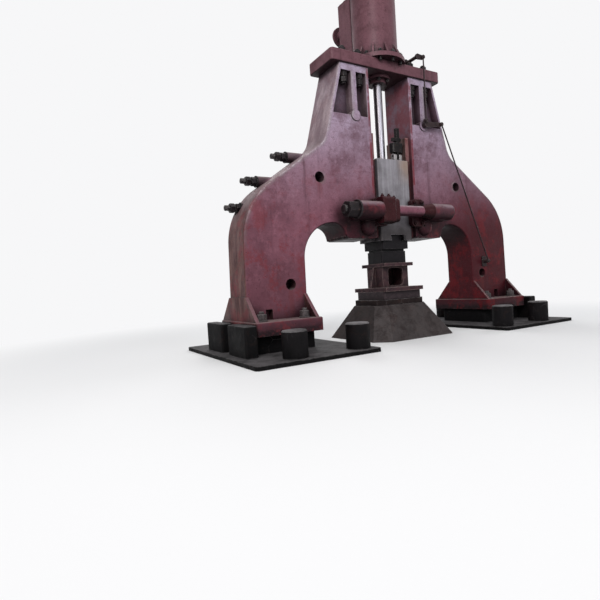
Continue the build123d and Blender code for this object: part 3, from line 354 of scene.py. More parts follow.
def stand_tone(t, colour):
    """The stands' marks and painted light: dark feet and bosses, painted shade as deep red on the right leg,
    brown sides, streaks and stripe, painted shade under the arch and its noses, painted highlights on the
    faces' rim and the bosses' tops.
    """
    side = t.math("SIGN", t.x)
    reach = t.math("ABSOLUTE", t.x)
    depth = t.math("ABSOLUTE", t.y)
    # The lower legs are darker, the inner walls browner, the outer sides sooty with dusty slopes
    low = t.drop(t.ragged(t.z, t.noise(2.2, 4), 0.6), 1.1, 2.5)
    colour = t.over(colour, low, 0.5, LEG_MAROON)
    inward = t.drop(t.mul(t.nx, side), -0.9, -0.45)
    colour = t.over(colour, inward, 0.8, INNER_BROWN)
    outward = t.step(t.mul(t.nx, side), 0.35, 0.85)
    sooty = t.noise(3.2, 7, 0.68, t.scaled((1, 1.6, 0.5)))
    dusty = t.mix(t.step(sooty, 0.38, 0.66), SIDE_SOOT, SIDE_BROWN)
    slopes = t.mix(t.step(sooty, 0.38, 0.66), SLOPE_SOOT, SLOPE_DUST)
    upper = t.mix(t.step(sooty, 0.36, 0.68), UPPER_SOOT, UPPER_DUST)
    slopes = t.mix(t.step(t.ragged(t.z, sooty, 0.4), 3.45, 3.85), slopes, upper)
    dusty = t.mix(t.step(t.ragged(t.z, sooty, 0.8), 2.3, 3.2), dusty, slopes)
    colour = t.over(colour, outward, 0.85, dusty)
    # Dusty, worn rim of the faces along the outer contour, with a broken painted highlight along the rounded
    # edge
    turn = t.mul(t.turned(0.1), side)
    rim_breaks = t.noise(7, 6, 0.72)
    face = t.step(depth, *FACE_DEPTH)
    rim = t.mul(t.mul(t.band(turn, 0.1, 0.8, 0.07), t.step(t.z, 1.0, 2.2)), face)
    rim_dust = t.mix(t.step(t.z, 2.2, 3.4), RIM_BROWN, RIM_DUST)
    colour = t.over(colour, rim, t.step(rim_breaks, 0.3, 0.6, 0.25, 0.8), rim_dust)
    highlight_line = t.mul(t.step(t.z, 1.8, 2.6), t.step(rim_breaks, 0.42, 0.56))
    highlight_line = t.mul(t.band(turn, 0.34, 0.56, 0.05), highlight_line)
    colour = t.over(colour, highlight_line, t.mul(face, 0.75), RIM_HIGHLIGHT)
    # Painted shade on the lower right leg, as a deep red
    right_leg_shade = t.drop(t.ragged(t.z, t.noise(1.6, 5), 0.7), 2.2, 3.7)
    right_leg_shade = t.mul(t.step(t.x, 0.9, 1.7), right_leg_shade)
    colour = t.over(colour, right_leg_shade, 0.96, RIGHT_LEG_SHADE_RED)
    # Painted shade on the underside of the arch
    soffit = t.mul(t.drop(t.nz, -0.6, -0.15), t.drop(t.z, 2.3, 2.5))
    shadow = t.mix(t.step(t.x, 0.0, 0.5), SOFFIT_BLACK, SOFFIT_RED)
    colour = t.over(colour, soffit, 0.8, shadow)
    # Oily bosses of the ties, rubbed on top with a painted highlight, and painted shade on the noses under
    # the arch
    boss = t.mul(t.mul(t.step(depth, 0.35, 0.4), t.band(t.z, *TIE_BOSS_HEIGHTS)), t.band(reach, 0.0, 1.2))
    greasy = t.mix(t.step(t.noise(5, 5, 0.7), 0.42, 0.6), BOSS_GREASE, BOSS_RED)
    greasy = t.mix(t.step(t.x, 0.0, 0.2), greasy, BOSS_MAUVE)
    colour = t.over(colour, boss, 0.95, greasy)
    # Pale tops of the bosses: rubbed paint and a painted highlight from above
    rubbed = t.mul(t.mul(boss, t.step(t.nz, 0.15, 0.75)), t.step(t.noise(6, 5, 0.7), 0.3, 0.55))
    colour = t.over(colour, rubbed, 0.85, RUBBED_AND_LIT_PAINT)
    # Painted shade on the faces around the noses, near black to dark red
    under = t.drop(t.ragged(t.z, t.noise(3, 5), 0.3), 2.22, 2.66)
    under = t.mul(under, t.band(reach, 0.3, 1.4, 0.14))
    tint = t.mix(t.step(t.noise(4, 5, 0.7), 0.4, 0.62), NOSE_SHADE, NOSE_SHADE_RED)
    colour = t.over(colour, under, 0.96, tint)
    # Shaded backs of the pockets
    back = t.mul(t.drop(depth, 0.17, 0.31), t.step(reach, 0.49, 0.53))
    back = t.mul(t.band(t.z, *POCKET_HEIGHTS), back)
    back = t.mul(back, t.drop(outward, 0.0, 0.2))
    colour = t.over(colour, back, 0.75, POCKET_SHADE)
    # Sooty seats of the guide bolts, outside the slope of the shoulder
    fall = t.mul(t.math("SUBTRACT", t.z, SHOULDER_FOOT), SHOULDER_FALL)
    beyond = t.step(t.add(reach, fall), *SHOULDER_END)
    beyond = t.mul(beyond, t.mul(t.band(t.z, *SHOULDER_HEIGHTS), t.band(t.y, 0.08, 0.32)))
    tint = t.mix(t.step(t.z, 2.6, 3.2), SEAT_SOOT, SEAT_DUST)
    colour = t.over(colour, beyond, 0.85, tint)
    # The foot flange is darker, and black towards its bottom
    flange = t.drop(t.ragged(t.z, t.noise(4, 4), 0.1), 0.5, 0.66)
    colour = t.over(colour, flange, 0.7, FLANGE_DARK)
    flange_bottom = t.drop(t.ragged(t.z, t.noise(7, 4), 0.06), 0.42, 0.5)
    colour = t.over(colour, flange_bottom, 0.9, FLANGE_BLACK)
    # Rust streaks under the core holes: middle, top and length
    for middle, top, length in ((-2.33, 1.0, 0.5), (2.33, 1.0, 0.5), (-1.652, 2.8, 0.3)):
        below = t.band(t.math("SUBTRACT", t.z, t.mul(t.noise(6, 3), 0.1)), top - length, top, 0.1)
        streak = t.band(t.ragged(t.x, t.noise(9, 3), 0.05), middle - 0.03, middle + 0.07, 0.03)
        colour = t.over(colour, t.mul(below, streak), 0.3, STREAK_RUST)
    # Bare red lead shows in worn places of the face and along the guide
    lead = t.mul(t.step(t.noise(2.3, 8, 0.78), 0.5, 0.62), t.step(t.z, 1.6, 3.2, 1.0, 0.25))
    # The red lead is darker within the right leg's painted shade
    colour = t.over(colour, lead, 0.7, t.mix(right_leg_shade, RED_LEAD, SHADED_RED_LEAD))
    stripe = t.mul(t.band(reach, *GUIDE_EDGE_REACH, 0.01), t.band(t.z, *GUIDE_EDGE_HEIGHTS, 0.15))
    stripe = t.mul(stripe, t.step(t.noise(4, 6, 0.7), 0.36, 0.56))
    return t.over(colour, stripe, 0.8, STRIPE_RED)


# Black castings: colours
BROWN_BLOOM = (0.05, 0.026, 0.02)
RUBBED_IRON = (0.2, 0.185, 0.185)
SCRAPED_IRON = (0.16, 0.15, 0.15)


def black_casting(name, base, top, rust=0.25, oily=0.35):
    """Dark oily casting with pale scuffed ridges, settled dust and brown bloom."""
    t = Tree(name)
    clouds = t.noise(3.1, 7, 0.65)
    colour = t.mix(t.step(clouds, 0.35, 0.7), base, shade(base, 2.1))
    bloom = t.mul(t.step(t.noise(5.5, 6, 0.7, distortion=0.8), 0.52, 0.7), rust)
    colour = t.mix(bloom, colour, BROWN_BLOOM)
    worn = t.rubbed(0.03, 0.01, 0.22, t.noise(12, 6, 0.74), 0.42, 0.62)
    colour = t.over(colour, worn, 0.7, RUBBED_IRON)
    # Painted shade in hollows, as a darker copy of the base
    colour = t.over(colour, t.hollows(0.2), 0.7, shade(base, 0.4))
    lying = t.settled(0.3, 0.95, t.noise(4.2, 7, 0.72), 0.3, 0.62, 0.25)
    colour = t.over(colour, lying, 0.9, top)
    scrapes = t.scratches(3.5, t.scaled((1, 5, 1), (0.3, 0.1, 0.6)), 0.0, 0.02)
    colour = t.over(colour, t.mul(scrapes, t.step(clouds, 0.5, 0.7)), 0.3, SCRAPED_IRON)
    rough = t.blend(t.step(clouds, 0.3, 0.7), oily, oily + 0.3)
    rough = t.blend(lying, rough, 0.8)
    grain = t.add(t.mul(t.noise(60, 6, 0.65), 0.5), t.noise(9, 5, 0.6))
    return t.finish(colour, rough, 0.0, grain, 0.7, 0.009, 0.016, Specular_IOR_Level=0.08)


# Machined steel: colours
RUST_SPECK = (0.05, 0.03, 0.022)


def machined_steel(name, bright, dark, lay, tan=None, rough_base=0.46, metallic=0.3):
    """Machined steel with its tool lay, oil stains, dark wipes and light scuffs along the edges."""
    t = Tree(name)
    fine = t.noise(1.0, 4, 0.6, t.scaled(lay))
    clouds = t.noise(2.6, 7, 0.66)
    colour = t.mix(t.step(clouds, 0.36, 0.68), bright, dark)
    colour = t.mix(t.step(fine, 0.35, 0.7, 0.0, 0.35), colour, shade(dark, 0.55))
    wipes = t.noise(1.0, 5, 0.65, t.scaled((7, 7, 0.7), (0, 0.12, 0.3)))
    colour = t.mix(t.step(wipes, 0.55, 0.76, 0.0, 0.7), colour, shade(dark, 0.35))
    if tan is not None:
        colour = tan(t, colour)
    specks = t.mul(t.spots(30, 0.02, 0.14), t.step(t.noise(4, 3), 0.52, 0.65))
    colour = t.over(colour, specks, 0.7, RUST_SPECK)
    worn = t.rubbed(0.02, 0.01, 0.2, t.noise(18, 4), 0.35, 0.6)
    colour = t.over(colour, worn, 0.6, shade(bright, 1.8))
    # Painted shade in hollows, as a darker copy of the steel
    colour = t.over(colour, t.hollows(0.12), 0.75, shade(dark, 0.25))
    rough = t.blend(t.step(clouds, 0.35, 0.7), rough_base, rough_base + 0.25)
    rough = t.blend(t.step(wipes, 0.55, 0.76), rough, 0.3)
    height = t.add(t.mul(fine, 0.5), t.mul(t.noise(40, 4, 0.6), 0.25))
    return t.finish(colour, rough, metallic, height, 0.3, 0.0015, 0.008)


# Ram: colours
WIPED_STEEL = (0.34, 0.33, 0.35)
TAN_FILM = (0.26, 0.17, 0.12)
RAM_LEFT_SHADE = (0.035, 0.03, 0.034)
RAM_SOOT = (0.019, 0.013, 0.0135)


def ram_marks(t, colour):
    """The ram's stains and painted shade: upright tracks, tan top right corner, painted shade along the left
    edge, and darker towards the bottom.
    """
    track = t.step(t.noise(1.0, 4, 0.6, t.scaled((26, 26, 0.3))), 0.5, 0.7)
    colour = t.over(colour, track, 0.4, WIPED_STEEL)
    tan = t.mul(t.step(t.ragged(t.x, t.noise(5, 4), 0.2), 0.12, 0.4), t.step(t.z, 2.75, 3.2))
    colour = t.over(colour, tan, 0.7, TAN_FILM)
    # Painted shade along the left edge
    edge = t.drop(t.ragged(t.x, t.noise(4, 4), 0.12), -0.36, -0.22)
    colour = t.over(colour, edge, 0.75, RAM_LEFT_SHADE)
    tint = t.drop(t.ragged(t.z, t.noise(6, 4), 0.25), 2.0, 2.5)
    return t.over(colour, tint, 0.9, RAM_SOOT)


# Piston rod: colours
POLISHED_STEEL = (0.3, 0.29, 0.325)
FILMED_STEEL = (0.12, 0.11, 0.112)
ROD_LEFT_REFLECTION = (0.05, 0.042, 0.045)
ROD_RIGHT_REFLECTION = (0.09, 0.075, 0.075)
ROD_BROWN = (0.12, 0.09, 0.07)


def bright_rod(name):
    """Polished rod: bright, with painted dark reflections down both sides and a dull film near its lower end.
    """
    t = Tree(name)
    along = t.noise(1.0, 5, 0.6, t.scaled((12, 12, 0.4)))
    film = t.noise(3.0, 5, 0.6)
    colour = t.mix(t.step(along, 0.5, 0.78, 0.0, 0.6), POLISHED_STEEL, FILMED_STEEL)
    # Painted dark reflections down the left and the right side
    oil = t.drop(t.ragged(t.nx, along, 0.3), -0.6, -0.3)
    colour = t.over(colour, oil, 0.85, ROD_LEFT_REFLECTION)
    right_reflection = t.step(t.ragged(t.nx, along, 0.2), 0.6, 0.86)
    colour = t.over(colour, right_reflection, 0.7, ROD_RIGHT_REFLECTION)
    low = t.drop(t.ragged(t.z, film, 0.2), 3.35, 3.55)
    colour = t.over(colour, low, 0.6, ROD_BROWN)
    rough = t.blend(t.step(along, 0.4, 0.7), 0.24, 0.42)
    rings = t.noise(1.0, 3, 0.5, t.scaled((3, 3, 260)))
    return t.finish(colour, rough, 0.9, rings, 0.12, 0.0006, 0.004)


# Dies: colours
CHIPPED_SCALE = (0.06, 0.047, 0.045)
RUBBED_DIE = (0.17, 0.155, 0.16)
DIE_DUST = (0.12, 0.105, 0.105)


def scaled_die(name, base, warm, metallic):
    """Die steel with flaked scale, worn ridges and hammered dents."""
    t = Tree(name)
    flakes = t.noise(8, 7, 0.72, distortion=1.2)
    plates = t.scratches(14, t.scaled((1, 1, 1.4)), 0.0, 0.05)
    colour = t.mix(t.step(flakes, 0.4, 0.62), base, warm)
    colour = t.over(colour, plates, 0.35, shade(base, 0.3))
    colour = t.mix(t.step(t.noise(26, 5, 0.7), 0.6, 0.72, 0.0, 0.45), colour, CHIPPED_SCALE)
    worn = t.rubbed(0.018, 0.01, 0.2, t.noise(14, 5, 0.7), 0.4, 0.6)
    colour = t.over(colour, worn, 0.7, RUBBED_DIE)
    # Painted shade in hollows, as a darker copy of the base
    colour = t.over(colour, t.hollows(0.15), 0.75, shade(base, 0.35))
    lying = t.settled(0.4, 0.95, t.noise(7, 6, 0.7), 0.3, 0.6, 0.3)
    colour = t.over(colour, lying, 0.6, DIE_DUST)
    rough = t.blend(t.step(flakes, 0.4, 0.7), 0.4, 0.75)
    height = t.add(t.mul(flakes, 1.2), t.mul(t.noise(70, 5, 0.6), 0.3))
    return t.finish(colour, rough, metallic, height, 0.8, 0.006, 0.01, Specular_IOR_Level=0.14)


# Fasteners: colours
BOLT_RUST = (0.075, 0.036, 0.026)
RUBBED_BOLT = (0.3, 0.28, 0.275)


def oily_fastener(name, base, film):
    """Fasteners: dark oiled steel with rubbed corners and packed dust."""
    t = Tree(name)
    clouds = t.noise(11, 6, 0.65)
    colour = t.mix(t.step(clouds, 0.38, 0.66), base, shade(base, 2.2))
    colour = t.mix(t.step(t.noise(24, 5, 0.7), 0.58, 0.7, 0.0, 0.55), colour, BOLT_RUST)
    worn = t.rubbed(0.008, 0.02, 0.25, t.noise(30, 4), 0.35, 0.6)
    colour = t.over(colour, worn, 0.7, RUBBED_BOLT)
    # Painted shade in hollows, as a darker copy of the base
    colour = t.over(colour, t.hollows(0.05), 0.7, shade(base, 0.3))
    lying = t.settled(0.5, 0.95, t.noise(14, 6, 0.7), 0.35, 0.6, 0.3)
    colour = t.over(colour, lying, 0.75, film)
    rough = t.blend(t.step(clouds, 0.35, 0.65), 0.34, 0.62)
    rough = t.blend(lying, rough, 0.8)
    height = t.add(t.noise(90, 4, 0.6), t.mul(clouds, 0.6))
    return t.finish(colour, rough, 0.12, height, 0.3, 0.0015, 0.004, Specular_IOR_Level=0.14)


# Guides: colours
GUIDE_LIT_PINK = (0.24, 0.13, 0.13)
GUIDE_LIT_ROSE = (0.12, 0.035, 0.038)
GUIDE_SHADE_MAROON = (0.05, 0.013, 0.016)
GUIDE_SHADE_DARK = (0.024, 0.008, 0.01)
GUIDE_STREAK = (0.04, 0.014, 0.015)
GUIDE_OIL = (0.07, 0.05, 0.045)
GUIDE_CREVICE_SHADE = (0.012, 0.008, 0.008)
RUBBED_GUIDE = (0.3, 0.2, 0.19)


def guide_blocks(name):
    """The guide lips: painted shade as dark maroon below and painted light as pink above the ram, painted
    shade in joints and crevices, and an oiled running face.
    """
    t = Tree(name)
    clouds = t.noise(6, 6, 0.66)
    lit_guide = t.mix(t.step(clouds, 0.35, 0.68), GUIDE_LIT_PINK, GUIDE_LIT_ROSE)
    shaded_guide = t.mix(t.step(clouds, 0.4, 0.66), GUIDE_SHADE_MAROON, GUIDE_SHADE_DARK)
    # Painted shade beside the ram, painted light above it
    colour = t.mix(t.step(t.ragged(t.z, clouds, 0.3), 3.25, 3.6), shaded_guide, lit_guide)
    streaks = t.noise(1.0, 4, 0.6, t.scaled((28, 28, 1.2)))
    colour = t.mix(t.step(streaks, 0.5, 0.75, 0.0, 0.6), colour, GUIDE_STREAK)
    oiled = t.drop(t.mul(t.nx, t.math("SIGN", t.x)), -0.95, -0.6)
    colour = t.over(colour, oiled, 0.8, GUIDE_OIL)
    # Painted shade in joints and crevices
    colour = t.over(colour, t.hollows(0.03), 0.85, GUIDE_CREVICE_SHADE)
    worn = t.rubbed(0.01, 0.02, 0.25, t.noise(25, 4), 0.42, 0.64)
    colour = t.over(colour, worn, 0.5, RUBBED_GUIDE)
    rough = t.blend(oiled, 0.6, 0.3)
    height = t.add(streaks, t.mul(clouds, 0.5))
    return t.finish(colour, rough, t.mul(oiled, 0.4), height, 0.3, 0.002, 0.005, Specular_IOR_Level=0.15)


# Prop: colours
PROP_BROWN = (0.05, 0.022, 0.026)
PROP_SCALE = (0.026, 0.016, 0.019)
PROP_FLAKE = (0.1, 0.055, 0.05)
PROP_RUN = (0.018, 0.014, 0.016)
RUBBED_PROP = (0.22, 0.16, 0.15)
PROP_CORNER_SHADE = (0.014, 0.01, 0.01)
PROP_DUST = (0.15, 0.12, 0.12)


def prop_plate(name):
    """Welded prop: brown scaled plate with flaking paint, dark runs, rubbed edges and dust."""
    t = Tree(name)
    flakes = t.noise(6.5, 7, 0.7, distortion=0.7)
    colour = t.mix(t.step(flakes, 0.4, 0.62), PROP_BROWN, PROP_SCALE)
    colour = t.mix(t.step(t.noise(17, 6, 0.7), 0.56, 0.68, 0.0, 0.6), colour, PROP_FLAKE)
    runs = t.noise(1.0, 5, 0.6, t.scaled((14, 14, 1.2)))
    colour = t.mix(t.step(runs, 0.55, 0.75, 0.0, 0.6), colour, PROP_RUN)
    worn = t.rubbed(0.02, 0.01, 0.2, t.noise(15, 5, 0.7), 0.3, 0.52)
    colour = t.over(colour, worn, 0.85, RUBBED_PROP)
    # Painted shade in corners
    colour = t.over(colour, t.hollows(0.1), 0.7, PROP_CORNER_SHADE)
    lying = t.settled(0.4, 0.95, t.noise(8, 6, 0.7), 0.3, 0.6, 0.3)
    colour = t.over(colour, lying, 0.7, PROP_DUST)
    rough = t.blend(t.step(flakes, 0.4, 0.7), 0.45, 0.8)
    height = t.add(flakes, t.mul(t.noise(80, 4), 0.3))
    return t.finish(colour, rough, 0.1, height, 0.6, 0.004, 0.006, Specular_IOR_Level=0.15)


DUST = (0.21, 0.165, 0.16)
GRIME_AND_SHADE = (0.014, 0.007, 0.009)
stand_paint = cast_paint("stand_oxblood", (0.41, 0.345, 0.455), (0.175, 0.067, 0.093), DUST, GRIME_AND_SHADE,
                         tone=stand_tone)
cylinder_paint = cast_paint("cylinder_oxblood", (0.135, 0.06, 0.075), (0.1, 0.036, 0.046), DUST, GRIME_AND_SHADE, 0.9)
tie_paint = cast_paint("tie_oxblood", (0.045, 0.004, 0.007), (0.03, 0.003, 0.005), (0.13, 0.07, 0.075),
                       GRIME_AND_SHADE, 0.5, 0.3, specular=0.14)
tube_paint = cast_paint("tie_tube_crimson", (0.17, 0.058, 0.088), (0.17, 0.052, 0.08), (0.4, 0.34, 0.36),
                        GRIME_AND_SHADE, 1.1, 0.3, specular=0.25)
base_black = black_casting("base_black", (0.003, 0.0028, 0.0032), (0.085, 0.08, 0.083), 0.15, 0.55)
post_black = black_casting("post_black", (0.0035, 0.003, 0.0035), (0.19, 0.18, 0.185), 0.15, 0.5)
anvil_black = black_casting("anvil_black", (0.01, 0.0065, 0.0065), (0.13, 0.115, 0.115), 0.35, 0.5)
ram_steel = machined_steel("ram_steel", (0.24, 0.225, 0.25), (0.15, 0.14, 0.155), (60, 60, 1.5), ram_marks)
fitting_steel = machined_steel("fitting_steel", (0.42, 0.4, 0.41), (0.2, 0.18, 0.18), (40, 40, 4),
                               rough_base=0.34, metallic=0.5)
shackle_steel = oily_fastener("shackle_dark_steel", (0.006, 0.005, 0.0055), (0.06, 0.053, 0.053))
rod_chrome = bright_rod("rod_polished")
die_steel = scaled_die("die_scale", (0.0045, 0.0035, 0.005), (0.01, 0.008, 0.01), 0.1)
holder_steel = scaled_die("lower_die_scale", (0.022, 0.014, 0.017), (0.05, 0.036, 0.04), 0.1)
bolt_steel = oily_fastener("bolt_dark_steel", (0.009, 0.007, 0.008), (0.1, 0.088, 0.085))
foot_nut_steel = oily_fastener("foot_nut_steel", (0.04, 0.034, 0.035), (0.2, 0.18, 0.175))
linkage_steel = oily_fastener("linkage_steel", (0.016, 0.01, 0.011), (0.1, 0.085, 0.08))
guide_paint = guide_blocks("guide_blocks")
prop_paint = prop_plate("prop_scaled_plate")

# The first row whose beginning fits a node's name gives its material
FINISHES = (
    (("foundation_plate",), base_black),
    (("anchor_posts",), post_black),
    (("anvil",), anvil_black),
    (("left_stand", "right_stand"), stand_paint),
    (("front_tie_collars", "rear_tie_collars"), tie_paint),
    (("front_tie_sleeve", "rear_tie_sleeve"), tube_paint),
    (("ram_shackle",), shackle_steel),
    (("ram_lifting_eyes",), fitting_steel),
    (("ram",), ram_steel),
    (("piston_rod", "piston"), rod_chrome),
    (("upper_die", "upper_die_key"), die_steel),
    (("lower_die",), holder_steel),
    (("prop_stand",), prop_paint),
    (("guide_liner",), guide_paint),
    (("control",), linkage_steel),
    (("foot_bolts", "guide_bolts", "front_tie_bolt", "rear_tie_bolt", "plate_bolts"), bolt_steel),
    (("cover_bolts", "cylinder_bolts", "gland_studs"), bolt_steel),
    (("cylinder", "gland", "valve_chest", "chest_cover"), cylinder_paint),
)


def finish_of(node):
    for starts, material in FINISHES:
        if node.startswith(starts):
            return material
    raise ValueError(node)


for node, obj in nodes.items():
    material = finish_of(node)
    if not obj.material_slots:
        obj.data.materials.append(material)
    for slot in obj.material_slots:
        slot.material = material


# Small pieces: facets meeting at less than this angle look smooth, and how many facets go round a turned form
SMOOTH_ANGLE = math.radians(35)
NUT_FACETS, WASHER_FACETS, STUD_FACETS, BEAD_FACETS = 48, 40, 32, 10


def piece(name, mesh, body, material):
    """Turns a bmesh into an object that rides on a body."""
    bmesh.ops.recalc_face_normals(mesh, faces=mesh.faces)
    data = bpy.data.meshes.new(name)
    mesh.to_mesh(data)
    mesh.free()
    obj = bpy.data.objects.new(name, data)
    bpy.context.scene.collection.objects.link(obj)
    data.materials.append(material)
    data.shade_smooth()
    data.set_sharp_from_angle(angle=SMOOTH_ANGLE)
    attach(obj, body)
    return obj


def lathe(mesh, matrix, rings, segments, closed=False):
    """A turned form from rings of (radius, height), where either may be a function of the angle."""
    loops = []
    for radius, height in rings:
        loop = []
        for step in range(segments):
            angle = 2 * math.pi * step / segments
            reach = radius(angle) if callable(radius) else radius
            rise = height(angle) if callable(height) else height
            point = Vector((reach * math.cos(angle), reach * math.sin(angle), rise))
            loop.append(mesh.verts.new(matrix @ point))
        loops.append(loop)
    pairs = list(zip(loops, loops[1:]))
    if closed:
        pairs.append((loops[-1], loops[0]))
    for low, high in pairs:
        for step in range(segments):
            after = (step + 1) % segments
            mesh.faces.new((low[step], low[after], high[after], high[step]))
    if not closed:
        mesh.faces.new(loops[0][::-1])
        mesh.faces.new(loops[-1])


# Bolts in metres: the stud's radius, the nuts' bore as a radius, height and width, the bare threads' pitch.
# Along the axis: the stud's ends and bare threads, the washer's start, height and radius, the nuts' starts
Bolt = namedtuple("Bolt", "radius bore height width pitch ends threads washer nuts")
FOOT = Bolt(0.042, 0.041, 0.095, 0.140, 0.009, (0.340, 0.703), ((0.664, 0.699),),
            (FLANGE_TOP, 0.018, 0.092), (FLANGE_TOP + 0.018,))
GUIDE = Bolt(0.046, 0.045, 0.080, 0.140, 0.009, (-0.150, 0.290), ((0.210, 0.285), (0.105, 0.125)),
             (0.0, 0.024, 0.098), (0.024, 0.126))
PLATE = Bolt(0.045, 0.044, 0.085, 0.124, 0.009, (4.548, 5.205),
             ((4.552, 4.578), (4.664, 4.674), (5.176, 5.200)), None, (4.578, 4.675, PLATE_TOP))
TIE = Bolt(0.072, 0.071, 0.210, 0.250, 0.012, (-1.400, 1.205), ((-1.396, -1.342),),
           (-1.130, 0.030, 0.165), (-1.340,))
COVER = Bolt(0.026, 0.0255, 0.048, 0.076, 0.006, (6.743, 7.044), ((6.746, 6.766), (7.020, 7.041)),
             None, (6.768, COVER_TOP))
CYLINDER = COVER._replace(ends=(5.030, 5.238), threads=((5.214, 5.235),), nuts=(5.165,))
COLLAR = Bolt(0.019, 0.0185, 0.032, 0.064, 0.005, (-0.030, 0.056), ((0.036, 0.053),), None, (0.0,))
CHEST = Bolt(0.014, 0.0135, 0.024, 0.048, 0.005, (-0.020, 0.045), ((0.030, 0.043),), None, (0.005,))

# The collar on a tie's right end as rings of radius and place, and how the nut at its left end is turned
TIE_COLLAR = ((TIE.bore, 1.100), (0.105, 1.100), (0.105, 1.130), (0.096, 1.142), (0.085, 1.145),
              (TIE.bore, 1.145))
TIE_NUT_TURN = 0.3


def nut(mesh, matrix, kind, start, turn):
    """A hexagon nut with its corners turned off at both ends."""
    flat, end = kind.width / 2, start + kind.height
    face, mouth = flat * 0.93, kind.bore * 0.08

    def reach(angle):
        return flat / math.cos((angle + turn) % (math.pi / 3) - math.pi / 6)

    def shy(angle):
        return (reach(angle) - flat * 0.97) * 0.58

    lathe(mesh, matrix, (
        (kind.bore, start), (face, start),
        (reach, lambda angle: start + shy(angle)), (reach, lambda angle: end - shy(angle)),
        (face, end), (kind.bore + mouth, end), (kind.bore, end - mouth),
    ), NUT_FACETS, True)


def washer(mesh, matrix, kind):
    """A flat washer with softened edges."""
    start, height, radius = kind.washer
    edge = min(height * 0.25, 0.004)
    lathe(mesh, matrix, (
        (kind.bore, start), (radius - edge, start), (radius, start + edge), (radius, start + height - edge),
        (radius - edge, start + height), (kind.bore, start + height),
    ), WASHER_FACETS, True)


def stud(mesh, matrix, kind):
    """A round bar with bare threads and a turned-off tip at each end."""
    radius, edge = kind.radius, kind.radius * 0.12
    start, end = kind.ends
    rings = [(radius - edge, start), (radius, start + edge)]
    for low, high in kind.threads:
        count = max(2, int((high - low) / kind.pitch))
        for turn in range(count):
            height = low + (high - low) * (turn + 0.25) / count
            rings.append((radius, height))
            rings.append((radius * 0.93, height + (high - low) / count / 2))
    rings += [(radius, end - edge), (radius - edge, end)]
    lathe(mesh, matrix, sorted(rings, key=lambda ring: ring[1]), STUD_FACETS)


def bolt(mesh, matrix, kind, turn=None):
    """A stud with its washer and nuts, which are turned at random unless a turn is given."""
    stud(mesh, matrix, kind)
    if kind.washer:
        washer(mesh, matrix, kind)
    for start in kind.nuts:
        nut(mesh, matrix, kind, start, random.uniform(0, 1) if turn is None else turn)


def upright(x, y, z=0.0):
    return Matrix.Translation((x, y, z))


def sideways(side, x, y, z):
    """Local +Z points along X, to the given side."""
    return Matrix.Translation((x, y, z)) @ Matrix.Rotation(side * math.pi / 2, 4, "Y")


def outward(end, x, y, z):
    """Local +Z points out of the front or the back."""
    return Matrix.Translation((x, end * y, z)) @ Matrix.Rotation(-end * math.pi / 2, 4, "X")


def cover_circle():
    for count in range(COVER_BOLT_COUNT):
        angle = 2 * math.pi * count / COVER_BOLT_COUNT
        yield upright(COVER_BOLT_CIRCLE * math.cos(angle), COVER_BOLT_CIRCLE * math.sin(angle))


for side, name in ((-1, "left"), (1, "right")):
    # Foot bolts
    bolts = bmesh.new()
    for x in FOOT_BOLT_X:
        for y in (-FOOT_BOLT_Y, FOOT_BOLT_Y):
            bolt(bolts, upright(side * x, y), FOOT)
    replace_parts(piece(f"foot_nuts_{name}", bolts, "frame", foot_nut_steel), f"foot_bolts_{name}")
    # Guide bolts, with two nuts each
    bolts = bmesh.new()
    for x, z in GUIDE_BOLT_SEATS:
        bolt(bolts, sideways(side, side * x, GUIDE_BOLT_Y, z), GUIDE)
    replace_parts(piece(f"guide_studs_{name}", bolts, "frame", bolt_steel), f"guide_bolts_{name}")
    # Bolts of the cylinder plate, with two nuts below it and one on top
    bolts = bmesh.new()
    for x in PLATE_BOLT_X:
        for y in (-PLATE_BOLT_Y, PLATE_BOLT_Y):
            bolt(bolts, upright(side * x, y), PLATE)
    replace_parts(piece(f"plate_studs_{name}", bolts, "frame", bolt_steel), f"plate_bolts_{name}")

# Tie rods, with a nut at the left end and a collar at the right one
for end, name in ((-1, "front"), (1, "rear")):
    bolts = bmesh.new()
    m = sideways(1, 0, end * TIE_Y, TIE_Z)
    bolt(bolts, m, TIE, TIE_NUT_TURN)
    lathe(bolts, m, TIE_COLLAR, WASHER_FACETS, True)
    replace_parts(piece(f"{name}_tie_rod", bolts, "frame", bolt_steel), f"{name}_tie_bolt")

# Studs of the cylinder's top and bottom flanges
bolts = bmesh.new()
for m in cover_circle():
    bolt(bolts, m, COVER)
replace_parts(piece("cover_studs", bolts, "frame", bolt_steel), "cover_bolts")
bolts = bmesh.new()
for m in cover_circle():
    bolt(bolts, m, CYLINDER)
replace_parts(piece("cylinder_studs", bolts, "frame", bolt_steel), "cylinder_bolts")

# Small bolts on the tie collars and the valve chest
bolts = bmesh.new()
for end in (-1, 1):
    places = [upright(x, end * TIE_Y, z) for x, z in CLAMP_BOLTS]
    places += [outward(end, x, RETAINER_FACE, z) for x in RETAINER_X for z in RETAINER_Z]
    for m in places:
        bolt(bolts, m, COLLAR)
piece("tie_collar_bolts", bolts, "frame", tie_paint)
bolts = bmesh.new()
for x in CHEST_BOLT_X:
    for y in CHEST_BOLT_Y:
        bolt(bolts, upright(x, y, CHEST_TOP), CHEST)
piece("chest_cover_bolts", bolts, "frame", bolt_steel)


